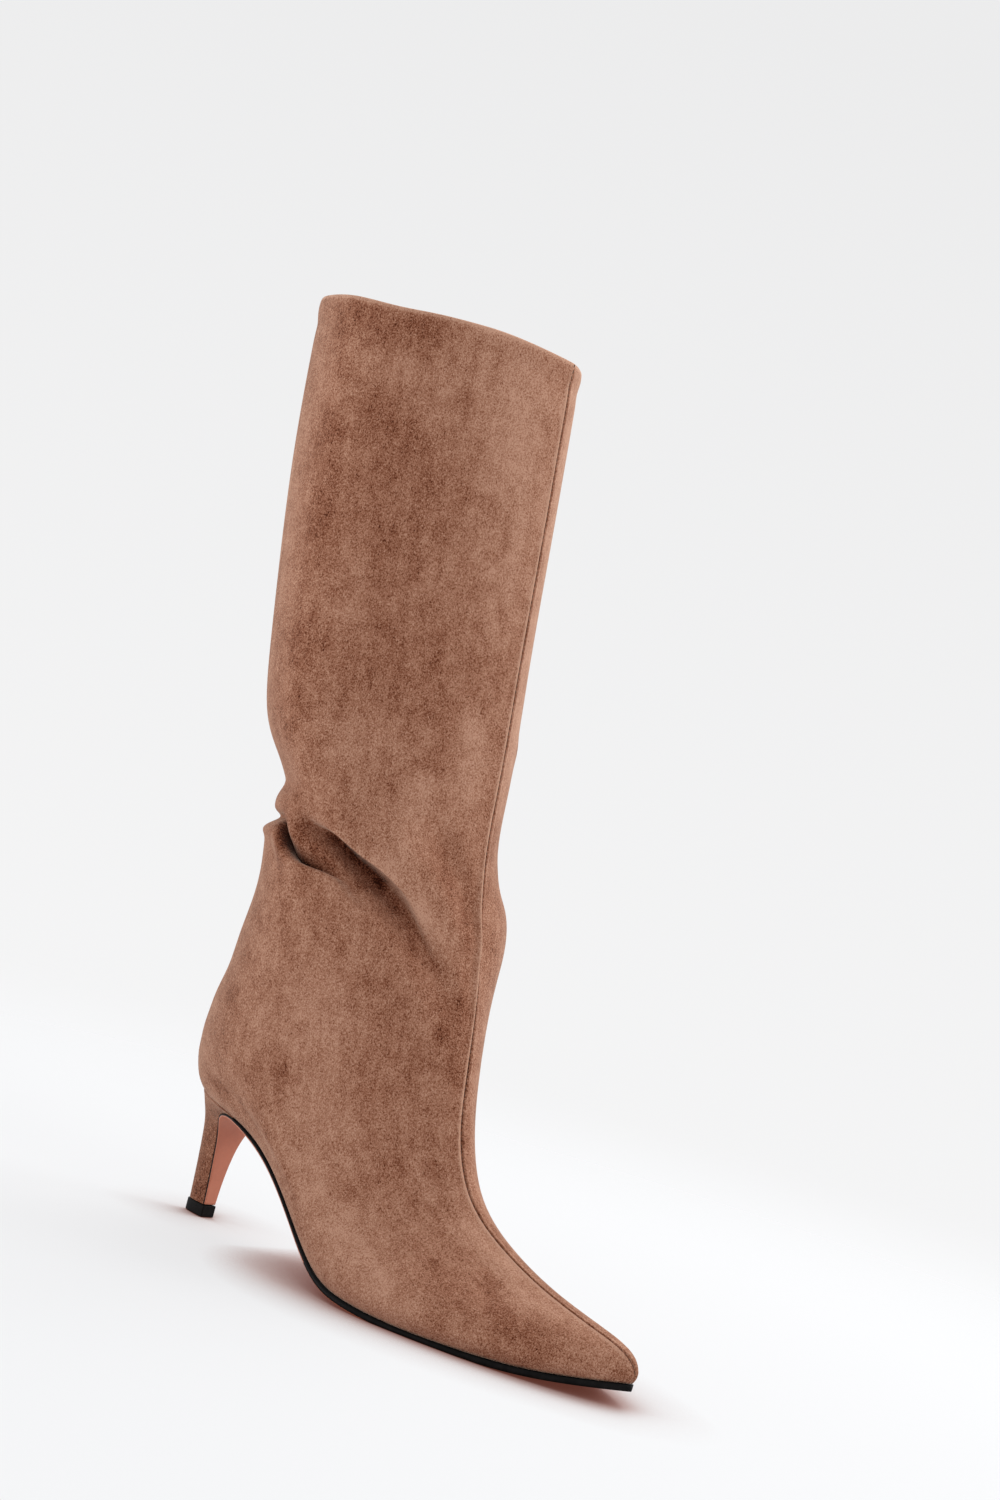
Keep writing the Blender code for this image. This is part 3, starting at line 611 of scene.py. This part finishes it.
class Graph:
    """A material's node tree, with a short call for each kind of node."""

    def __init__(self, name):
        self.material = bpy.data.materials.new(name)
        self.material.use_nodes = True
        self.tree = self.material.node_tree
        self.shader = self.tree.nodes["Principled BSDF"]

    def node(self, kind, **settings):
        made = self.tree.nodes.new(kind)
        for key, value in settings.items():
            setattr(made, key, value)
        return made

    def feed(self, socket, value):
        """Links a node's output into a socket, or sets a constant on it."""
        if isinstance(value, bpy.types.NodeSocket):
            self.tree.links.new(value, socket)
        else:
            socket.default_value = value

    def shade(self, **values):
        """Feeds the shader's inputs by name, and gives back the finished material."""
        for name, value in values.items():
            self.feed(self.shader.inputs[name.replace("_", " ")], value)
        return self.material

    def place(self, stretch=(1.0, 1.0, 1.0), uv=False):
        """Object coordinates in metres, or the nap's own map, stretched along each axis."""
        if uv:
            source = self.node("ShaderNodeUVMap", uv_map="nap").outputs[0]
        else:
            source = self.node("ShaderNodeTexCoord").outputs["Object"]
        mapping = self.node("ShaderNodeMapping")
        self.feed(mapping.inputs["Vector"], source)
        set_inputs(mapping, Scale=stretch)
        return mapping.outputs[0]

    def noise(self, where, scale, detail=3.0, roughness=0.55):
        made = self.node("ShaderNodeTexNoise")
        self.feed(made.inputs["Vector"], where)
        set_inputs(made, Scale=scale, Detail=detail, Roughness=roughness)
        return made.outputs["Fac"]

    def math(self, operation, first, second=0.0, third=0.0):
        made = self.node("ShaderNodeMath", operation=operation)
        for socket, value in zip(made.inputs, (first, second, third)):
            self.feed(socket, value)
        return made.outputs[0]

    def ramp(self, value, stops):
        """A colour ramp through (position, colour) stops."""
        made = self.node("ShaderNodeValToRGB")
        self.feed(made.inputs[0], value)
        elements = made.color_ramp.elements
        while len(elements) < len(stops):
            elements.new(0.5)
        for element, (position, colour) in zip(elements, stops):
            element.position = position
            element.color = (*colour, 1.0)
        return made.outputs["Color"]

    def bump(self, height, distance, strength=1.0):
        made = self.node("ShaderNodeBump")
        self.feed(made.inputs["Height"], height)
        set_inputs(made, Distance=distance, Strength=strength)
        return made.outputs[0]


SUEDE_TONES = (
    (0.00, (0.028, 0.004, 0.001)),
    (0.12, (0.108, 0.027, 0.010)),
    (0.35, (0.216, 0.081, 0.045)),
    (0.55, (0.320, 0.150, 0.093)),
    (0.90, (0.480, 0.268, 0.185)),
)


def suede_material():
    """Faux suede: a short nap brushed in patches and streaks, with a fine fibrous grain and a pale sheen."""
    graph = Graph("taupe_suede")
    patches = graph.noise(graph.place((1.0, 0.6, 1.0), uv=True), 24.0, 4.0, 0.6)
    streaks = graph.noise(graph.place((1.0, 0.22, 1.0), uv=True), 210.0, 3.0, 0.6)
    blotches = graph.noise(graph.place(), 130.0, 5.0, 0.65)
    grain = graph.noise(graph.place(), 1300.0, 2.0, 0.7)
    fibres = graph.noise(graph.place((1.0, 1.0, 0.6)), 2600.0, 1.0, 0.6)
    # the tone carries painted shade and painted highlights as well as the nap's own marks
    marks = graph.node("ShaderNodeAttribute", attribute_name="nap_tone_and_painted_light").outputs["Fac"]
    tone = graph.math("ADD", marks, 0.5)
    for part, share in ((patches, 0.5), (streaks, 0.4), (blotches, 0.6), (grain, 1.0), (fibres, 1.2)):
        tone = graph.math("MULTIPLY_ADD", graph.math("SUBTRACT", part, 0.5), share, tone)
    relief = graph.math("ADD", grain, graph.math("MULTIPLY", fibres, 0.6))
    return graph.shade(
        Base_Color=graph.ramp(tone, SUEDE_TONES),
        Normal=graph.bump(relief, 0.0005, 0.7),
        Roughness=0.95,
        Specular_IOR_Level=0.1,
        Sheen_Weight=0.42,
        Sheen_Roughness=0.35,
        Sheen_Tint=(1.0, 0.76, 0.60, 1.0),
    )


def lining_material():
    """Brushed cloth inside the boot."""
    graph = Graph("lining_cloth")
    weave = graph.noise(graph.place((1.0, 1.0, 0.5)), 900.0, 2.0, 0.5)
    shade = graph.noise(graph.place(), 40.0, 3.0, 0.5)
    tone = graph.math("ADD", graph.math("MULTIPLY", weave, 0.5), graph.math("MULTIPLY", shade, 0.5))
    colour = graph.ramp(tone, ((0.25, (0.22, 0.14, 0.095)), (0.75, (0.36, 0.25, 0.18))))
    relief = graph.bump(weave, 0.0003, 0.6)
    return graph.shade(
        Base_Color=colour, Normal=relief, Roughness=0.9, Sheen_Weight=0.2, Specular_IOR_Level=0.2
    )


def thread_material():
    """The dark sunk thread of the seam."""
    graph = Graph("seam_thread")
    twist = graph.noise(graph.place(), 2500.0, 2.0)
    colour = graph.ramp(twist, ((0.3, (0.060, 0.027, 0.016)), (0.7, (0.12, 0.058, 0.037))))
    return graph.shade(Base_Color=colour, Roughness=0.7, Specular_IOR_Level=0.3)


def sole_material():
    """Smooth tan unit sole with a faint mottle and scuffing."""
    graph = Graph("tan_sole")
    mottle = graph.noise(graph.place(), 90.0, 4.0, 0.55)
    scuffs = graph.noise(graph.place((0.15, 1.0, 1.0)), 500.0, 3.0, 0.6)
    tone = graph.math("ADD", graph.math("MULTIPLY", mottle, 0.7), graph.math("MULTIPLY", scuffs, 0.3))
    colour = graph.ramp(tone, ((0.3, (0.42, 0.135, 0.075)), (0.7, (0.52, 0.185, 0.108))))
    rough = graph.math("MULTIPLY_ADD", scuffs, 0.3, 0.35)
    relief = graph.bump(scuffs, 0.0001, 0.4)
    return graph.shade(Base_Color=colour, Roughness=rough, Normal=relief, Specular_IOR_Level=0.4)


def black_material(name, roughness):
    """Black edge paint or hard black rubber, slightly uneven."""
    graph = Graph(name)
    unevenness = graph.noise(graph.place(), 350.0, 3.0, 0.6)
    colour = graph.ramp(unevenness, ((0.3, (0.003, 0.003, 0.003)), (0.75, (0.010, 0.009, 0.009))))
    rough = graph.math("MULTIPLY_ADD", unevenness, 0.2, roughness)
    relief = graph.bump(unevenness, 0.0001, 0.5)
    return graph.shade(Base_Color=colour, Roughness=rough, Normal=relief, Specular_IOR_Level=0.06)


# ---- the upper

NAP_WIDTH = 340.0  # of one whole turn in the nap's map, in millimetres
SEAM_SPACING = (0.0, 0.0016, 0.0032, 0.005, 0.007, 0.0095, 0.013, 0.018, 0.025, 0.034)
UPPER_TURN_STEPS = ((0.034, 0.12, 12), (0.12, 0.72, 136), (0.72, 1.2, 40), (1.2, 1.966, 56))
UPPER_LEVEL_STEPS = (
    (0, 14, 12), (14, 112, 44), (112, 146, 52), (146, 192, 110), (192, 215, 16), (215, 378, 56),
    (378, 390, 8), (390, 391.2, 4),
)
RIM_STEPS = 6
SKIN, SKIN_STEPS, SKIN_EDGE = 0.9, 50, 2.0
LINING_GAP, LINING_BELOW_EDGE = 0.1, 1.0
LINING_TURNS, LINING_LEVELS = 120, 80


def stretches(steps):
    """Numbers spaced evenly over one stretch after another, from (start, end, count) rows."""
    return np.concatenate([np.linspace(start, end, count, endpoint=False) for start, end, count in steps])


def upper_turns():
    """Turns round the upper, crowded at the front seam and over the lateral folds."""
    near = np.array(SEAM_SPACING)
    return np.concatenate([near[:-1], stretches(UPPER_TURN_STEPS), 2 - near[:0:-1]])


def upper_levels():
    """Levels up the upper, crowded where it folds at the ankle."""
    rim = COLLAR_LEVEL - RIM * np.cos(np.linspace(0, np.pi / 2, RIM_STEPS))
    return np.concatenate([stretches(UPPER_LEVEL_STEPS), rim])


def nap_width(turn):
    """How far round the nap's map each turn lies, in metres."""
    return turn / 2 * NAP_WIDTH * MM


def set_nap_tone(piece, tone):
    """Gives each point of a piece its own tone of nap, painted shade and highlights included."""
    values = np.asarray(tone, np.float32).ravel()
    piece.data.attributes.new("nap_tone_and_painted_light", "FLOAT", "POINT").data.foreach_set("value", values)


def make_upper(surface):
    """The suede as a closed skin. Returns the front seam's line and the way out of the boot along it."""
    turn = upper_turns()
    levels = upper_levels()
    outer, normal = suede_surface(levels, turn)
    outer[0, :, 2] = feather_height(outer[0, :, 0])
    edge = COLLAR_LEVEL - SKIN_EDGE
    inner_levels = np.append(np.linspace(0, edge, SKIN_STEPS, endpoint=False), [edge, COLLAR_LEVEL])
    rings = np.concatenate([outer, inner_surface(inner_levels, turn, SKIN)[::-1]])
    v = np.concatenate([levels, inner_levels[::-1]]) * MM
    piece = loft_piece("suede_upper", rings, [surface], closed=True, uv_size=(nap_width(turn), v))
    tone = np.zeros(rings.shape[:2])
    tone[: len(levels)] = nap_tone_and_painted_light(levels, turn)
    set_nap_tone(piece, tone)
    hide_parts("upper")
    return outer[:, 0], normal[:, 0]


def make_lining(surface):
    """The cloth inside, from just under the collar's edge to the insole."""
    turn = 2 * np.arange(LINING_TURNS) / LINING_TURNS
    levels = np.linspace(0.0, COLLAR_LEVEL - LINING_BELOW_EDGE, LINING_LEVELS)
    outside, inside = (inner_surface(levels, turn, inset) for inset in (SKIN + LINING_GAP, WALL))
    rings = np.concatenate([outside, inside[::-1]])
    v = np.concatenate([levels, levels[::-1]]) * MM
    piece = loft_piece("lining", rings, [surface], closed=True, uv_size=(nap_width(turn), v))


# ---- sole, heel and insole


EDGE_POINTS = 200  # from the toe to the back


def inset_edge(distance):
    """The feather line moved in (or out, if negative), as y of each side against x, and its ends."""
    ring = section_ring(0.0, np.arange(2 * EDGE_POINTS) / EDGE_POINTS)
    along = np.roll(ring, -1, axis=0) - np.roll(ring, 1, axis=0)
    out = np.stack([-along[:, 1], along[:, 0]], axis=1)
    out /= np.linalg.norm(out, axis=1, keepdims=True)
    line = ring[:, :2] - distance * out
    lateral, medial = line[: EDGE_POINTS + 1][::-1], np.concatenate([line[EDGE_POINTS:], line[:1]])

    def sides(x):
        return np.interp(x, lateral[:, 0], lateral[:, 1]), np.interp(x, medial[:, 0], medial[:, 1])

    return sides, line[EDGE_POINTS, 0], line[0, 0]


def sole_path():
    """The outsole's top line from the heel tip up the breast and on to the toe, as in its solid."""
    sides, _, toe = inset_edge(-SOLE_MARGIN)
    start, forefoot, count = SHANK_STATIONS
    shank_x = np.linspace(start, forefoot, count, endpoint=False)
    to_toe = 1 - (1 - np.linspace(0, 1, FOREFOOT_STATIONS)) ** TOE_CROWDING
    sole_x = np.concatenate([shank_x, forefoot + (toe - TOE_BLUNTING - forefoot) * to_toe])
    lateral, medial = sides(sole_x)
    sole = np.stack([sole_x, feather_height(sole_x) - GAP, lateral, medial], axis=1)
    flap = columns(BREAST_COLUMNS, BREAST)
    breast = np.stack([flap["x"], flap["z"], -flap["half_width"], flap["half_width"]], axis=1)
    rows = np.concatenate([breast, sole])
    along = running_length(rows[:, :2])
    top = along[len(breast) - 1]
    knots = np.concatenate([np.linspace(0, top, BREAST_ROWS)[:-1], along[along >= top]])
    stations = smooth_through(along, rows)(knots)
    run, rise = np.gradient(stations[:, :2], axis=0).T
    rise *= 1 - smoothstep(stations[:, 0], TOE_FROM, TOE_TO)
    length = np.hypot(run, rise)
    return np.column_stack([stations, rise / length, -run / length])


EDGE_ROUNDING = 0.9
ROUNDING_STEPS = 4
BLACK_CORNER_FROM = (110.0, 150.0, 185.0, 215.0)  # the paint comes further round the corner towards the toe
TREAD_STEPS = 12
TAN, BLACK = 0, 1  # the outsole's surfaces


def plate_ring(x, z, down, thick, lateral, medial):
    """A plate's cross-section with rounded lower corners."""
    round_off = min(EDGE_ROUNDING, 0.2 * (medial - lateral), 0.4 * thick)
    angle = np.linspace(0, np.pi / 2, ROUNDING_STEPS)
    in_from_side, below_top = round_off * (1 - np.cos(angle)), thick - round_off + round_off * np.sin(angle)
    across = np.linspace(medial - round_off, lateral + round_off, TREAD_STEPS)[1:-1]
    y = np.concatenate([[lateral, medial], medial - in_from_side, across, lateral + in_from_side[::-1]])
    depth = np.concatenate([[0.0, 0.0], below_top, np.full(len(across), thick), below_top[::-1]])
    return np.stack([x + depth * down[0], y, z + depth * down[1]], axis=1)


def make_outsole(tan, black):
    """Tan underside and flap, with the painted black edge."""
    rings = []
    for x, z, lateral, medial, down_x, down_z in sole_path():
        thick = SHANK_THICK + (FOREFOOT_THICK - SHANK_THICK) * smoothstep(x, *SHANK_TO_FOREFOOT)
        thick = FLAP_THICK + (thick - FLAP_THICK) * smoothstep(x, *FLAP_TO_SHANK)
        rings.append(plate_ring(x, z, (down_x, down_z), thick, lateral, medial))
    rings = np.array(rings)
    rings[:, :, 2] = np.maximum(rings[:, :, 2], 0.0)
    kinds = np.full(rings.shape[:2], TAN)
    kinds[:, (0, 1, -1)] = BLACK
    for step, start in enumerate(BLACK_CORNER_FROM):
        painted = np.flatnonzero(rings[:, 0, 0] > start)
        kinds[np.ix_(painted, (2 + step, -2 - step))] = BLACK
    piece = loft_piece("sole_with_black_edge", rings, [tan, black], kind_of_face=kinds)
    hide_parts("outsole")


def d_outline(back, breast, half_width, count=HEEL_POINTS):
    """A D in plan: a flat breast with square corners and a half ellipse behind it."""
    angle = np.linspace(-np.pi / 2, np.pi / 2, count)
    return breast - (breast - back) * np.cos(angle), half_width * np.sin(angle)


def make_heel(surface):
    """The slim heel, wrapped in the upper's suede."""
    foot = TOP_PIECE_HEIGHT + GAP
    breast = sole_path()[:BREAST_ROWS]
    front_x, front_z = breast[:, 0] - GAP * breast[:, 4], breast[:, 1] - GAP * breast[:, 5]
    half = breast[:, 3]
    seat_z = feather_height(front_x) - GAP
    share = np.append((front_z - foot) / (seat_z - foot), 1.0)
    share[0] = 0.0
    back_line = smooth_through(np.linspace(0, 1, len(HEEL_BACK)), np.array(HEEL_BACK)[:, None])
    back = back_line(share)[:, 0]
    rings = []
    for k, height_share in enumerate(share):
        row = min(k, BREAST_ROWS - 1)
        plan_x, plan_y = d_outline(back[k], front_x[row], half[row])
        height = foot + height_share * (feather_height(plan_x) - GAP - foot)
        rings.append(np.stack([plan_x, plan_y, height], axis=1))
    u = np.linspace(0, HEEL_NAP_WIDTH, HEEL_POINTS) * MM
    v = share * HEEL_NAP_HEIGHT * MM
    piece = loft_piece("suede_heel", rings, [surface], uv_size=(u, v))
    piece.data.set_sharp_from_angle(angle=np.radians(50))
    set_nap_tone(piece, np.full(len(piece.data.vertices), HEEL_TONE))
    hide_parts("heel")


def make_top_piece(surface):
    """The black cap under the heel, with softened edges."""
    plan_x, plan_y = d_outline(TOP_PIECE_BACK, TOP_PIECE_BREAST, TOP_PIECE_HALF_WIDTH, TOP_PIECE_POINTS)
    rings = [np.stack([plan_x, plan_y, np.full_like(plan_x, z)], axis=1) for z in (0.0, TOP_PIECE_HEIGHT)]
    piece = loft_piece("top_piece_cap", rings, [surface])
    bevel = piece.modifiers.new("soft edges", "BEVEL")
    bevel.width = TOP_PIECE_BEVEL * MM
    bevel.segments = 3
    bevel.limit_method = "ANGLE"
    piece.data.set_sharp_from_angle(angle=np.radians(40))
    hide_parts("top_piece")


def make_insole(surface):
    """The sock inside, a thin padded plate."""
    sides, heel, toe = inset_edge(WALL + INSOLE_CLEARANCE)
    share = 0.5 * (1 - np.cos(np.linspace(0, np.pi, INSOLE_STATIONS)))
    stations = heel + GAP + (toe - INSOLE_CLEARANCE - heel - 2 * GAP) * share
    lateral, medial = sides(stations)
    low = feather_height(stations)
    rings = []
    for x, left, right, z in zip(stations, lateral, medial, low):
        y = np.linspace(left, right, INSOLE_POINTS)
        off_middle = np.abs(2 * (y - left) / (right - left) - 1)
        crown = INSOLE_THICK * (1 - INSOLE_THINNING * off_middle**INSOLE_CROWN_POWER)
        upper_side = np.stack([np.full(INSOLE_POINTS, x), y, z + crown], axis=1)
        rings.append(np.concatenate([[(x, left, z)], upper_side, [(x, right, z)]])[::-1])
    piece = loft_piece("insole_sock", rings, [surface])
    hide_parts("insole")


# ---- the seam's thread

STITCH_PITCH, STITCH_LENGTH, THREAD = 2.45, 1.7, 0.20
STITCH_RISE, STITCH_SINK, STITCH_ROUNDING = 0.25, 0.05, 0.97
STITCH_STEPS, STITCH_SIDES = 6, 8
SEAM_FROM, SEAM_END = 4.0, 3.0  # from the feather line, and short of the collar


def make_seam_thread(surface, line, out):
    """One sunk stitch after another up the front seam, from the toe to the collar."""
    run = running_length(line)
    starts = np.arange(SEAM_FROM, run[-1] - SEAM_END, STITCH_PITCH)
    rise = STITCH_RISE * np.sin(np.linspace(0, np.pi, STITCH_STEPS)) - STITCH_SINK
    ends = np.linspace(-STITCH_ROUNDING, STITCH_ROUNDING, STITCH_STEPS)
    radius = THREAD * np.sqrt(np.clip(1 - ends**4, 0.05, 1))
    tube, _ = loft_faces(STITCH_STEPS, STITCH_SIDES, False)
    first = np.arange(STITCH_SIDES)
    last = first + (STITCH_STEPS - 1) * STITCH_SIDES
    points, faces = [], []
    for start in starts:
        along = start + STITCH_LENGTH * np.linspace(0, 1, STITCH_STEPS)
        centre = np.stack([np.interp(along, run, line[:, k]) for k in range(3)], axis=1)
        up = np.stack([np.interp(along, run, out[:, k]) for k in range(3)], axis=1)
        centre += rise[:, None] * up
        forward = np.gradient(centre, axis=0)
        forward /= np.linalg.norm(forward, axis=1, keepdims=True)
        side = np.cross(forward, up)
        side /= np.linalg.norm(side, axis=1, keepdims=True)
        base = len(points)
        for c, s, u, r in zip(centre, side, up, radius):
            for a in np.linspace(0, 2 * np.pi, STITCH_SIDES, endpoint=False):
                points.append(c + r * (np.cos(a) * s + np.sin(a) * u))
        faces += (tube + base).tolist() + [(first[::-1] + base).tolist(), (last + base).tolist()]
    piece = add_piece("seam_thread", points, faces, [surface])


# ---- stage, light and camera

FLOOR_RADIUS, FLOOR_POINTS = 0.9, 96
FLOOR_PLACE = (0.09, 0.0, -0.0002)
FLOOR_FADE = {"From_Min": 0.30, "From_Max": 0.85, "To_Min": 1.0, "To_Max": 0.0}
CONTACT_REACH, CONTACT_POWER = 0.038, 1.8  # the warm shade where the boot stands on the floor
# The floor's colour and glow by how open it is to the sky: a painted warm contact shadow where the boot hems
# it in
FLOOR_COLOUR_AND_SHADOW = ((0.0, (0.15, 0.05, 0.035)), (0.85, (0.20, 0.202, 0.205)))
FLOOR_GLOW = ((0.0, (0.09, 0.03, 0.02)), (0.50, (0.34, 0.26, 0.245)), (0.92, (0.65, 0.654, 0.662)))
BACKDROP = (1.0, 1.0, 1.005, 1.0)  # and a little paler low down
BACKDROP_SHADE = {"From_Min": -0.25, "From_Max": 0.25, "To_Min": 0.935, "To_Max": 0.84}
LIGHT_AIM = (0.06, 0.0, 0.18)
# Each light's way from there towards the camera, to the picture's right and up, its size and its power
LIGHTS = (
    ("overhead", -0.8, 0.3, 1.2, 0.8, 10.0),
    ("key", 0.8, 0.8, 0.9, 0.5, 3.0),
    ("right_side", -0.3, 1.3, 0.25, 0.7, 9.5),
    ("left_side", 0.1, -1.3, 0.05, 0.7, 8.5),
)


def make_floor():
    """A pale round floor that fades into the backdrop."""
    graph = Graph("pale_floor")
    distance = graph.node("ShaderNodeVectorMath", operation="LENGTH")
    graph.feed(distance.inputs[0], graph.place())
    fade = graph.node("ShaderNodeMapRange", interpolation_type="SMOOTHSTEP")
    graph.feed(fade.inputs["Value"], distance.outputs["Value"])
    set_inputs(fade, **FLOOR_FADE)
    # painted contact shadow: darker and warmer where the boot hides the floor's sky
    open_sky = graph.node("ShaderNodeAmbientOcclusion", samples=8)
    set_inputs(open_sky, Distance=CONTACT_REACH)
    openness = graph.math("POWER", open_sky.outputs["AO"], CONTACT_POWER)
    graph.shade(
        Base_Color=graph.ramp(openness, FLOOR_COLOUR_AND_SHADOW),
        Emission_Color=graph.ramp(openness, FLOOR_GLOW),
        Emission_Strength=1.0,
        Roughness=0.9,
        Specular_IOR_Level=0.1,
        Alpha=fade.outputs[0],
    )
    bpy.ops.mesh.primitive_circle_add(
        vertices=FLOOR_POINTS, radius=FLOOR_RADIUS, fill_type="NGON", location=FLOOR_PLACE
    )
    floor = bpy.context.object
    floor.name = "floor"
    floor.data.materials.append(graph.material)


def add_light(name, place, aim, size, power):
    """A soft square light at a place, turned to what it lights."""
    data = bpy.data.lights.new(name, "AREA")
    data.shape = "SQUARE"
    data.size = size
    data.energy = power
    light = bpy.data.objects.new(name, data)
    bpy.context.scene.collection.objects.link(light)
    light.location = place
    light.rotation_mode = "QUATERNION"
    light.rotation_quaternion = (aim - place).to_track_quat("-Z", "Y")


def view_axes():
    """Unit vectors from the boot to the camera, to the picture's right and to its top."""
    azimuth, elevation, roll = np.radians([CAMERA_AZIMUTH, CAMERA_ELEVATION, CAMERA_ROLL])
    level = np.cos(elevation)
    back = np.array([np.sin(azimuth) * level, -np.cos(azimuth) * level, np.sin(elevation)])
    right = np.array([np.cos(azimuth), np.sin(azimuth), 0.0])
    up = np.cross(back, right)
    tilted = (back, np.cos(roll) * right + np.sin(roll) * up, np.cos(roll) * up - np.sin(roll) * right)
    return [Vector(axis) for axis in tilted]


def make_camera():
    """The camera at the boot's own angle, rolled, and kept as the scene's camera."""
    data = bpy.data.cameras.new("camera")
    data.lens = LENS
    data.sensor_width = 36.0
    camera = bpy.data.objects.new("camera", data)
    bpy.context.scene.collection.objects.link(camera)
    back, right, up = view_axes()
    target = Vector(in_frame(CAMERA_TARGET))
    place = target + back * CAMERA_DISTANCE * MM
    camera.matrix_world = Matrix.Translation(place) @ Matrix((right, up, back)).transposed().to_4x4()
    bpy.context.scene.camera = camera


def make_backdrop():
    """A pale studio world, shaded by height."""
    world = bpy.data.worlds.new("studio")
    world.use_nodes = True
    tree = world.node_tree
    background = tree.nodes["Background"]
    set_inputs(background, Color=BACKDROP)
    direction = tree.nodes.new("ShaderNodeTexCoord")
    height = tree.nodes.new("ShaderNodeSeparateXYZ")
    shade = tree.nodes.new("ShaderNodeMapRange")
    set_inputs(shade, **BACKDROP_SHADE)
    tree.links.new(direction.outputs["Generated"], height.inputs[0])
    tree.links.new(height.outputs["Z"], shade.inputs["Value"])
    tree.links.new(shade.outputs[0], background.inputs["Strength"])
    bpy.context.scene.world = world
    bpy.context.scene.view_settings.view_transform = "Standard"


def make_lights():
    """The soft lights round the boot."""
    aim, above = Vector(LIGHT_AIM), Vector((0.0, 0.0, 1.0))
    back, right, _ = view_axes()
    for name, nearer, rightward, upward, size, power in LIGHTS:
        place = aim + nearer * back + rightward * right + upward * above
        add_light(name, place, aim, size, power)


suede = suede_material()
lining = lining_material()
seam_line, seam_out = make_upper(suede)
make_lining(lining)
make_heel(suede)
make_outsole(sole_material(), black_material("black_edge_paint", 0.35))
make_top_piece(black_material("black_rubber", 0.45))
make_insole(lining)
make_seam_thread(thread_material(), seam_line, seam_out)
make_floor()
make_camera()
make_backdrop()
make_lights()
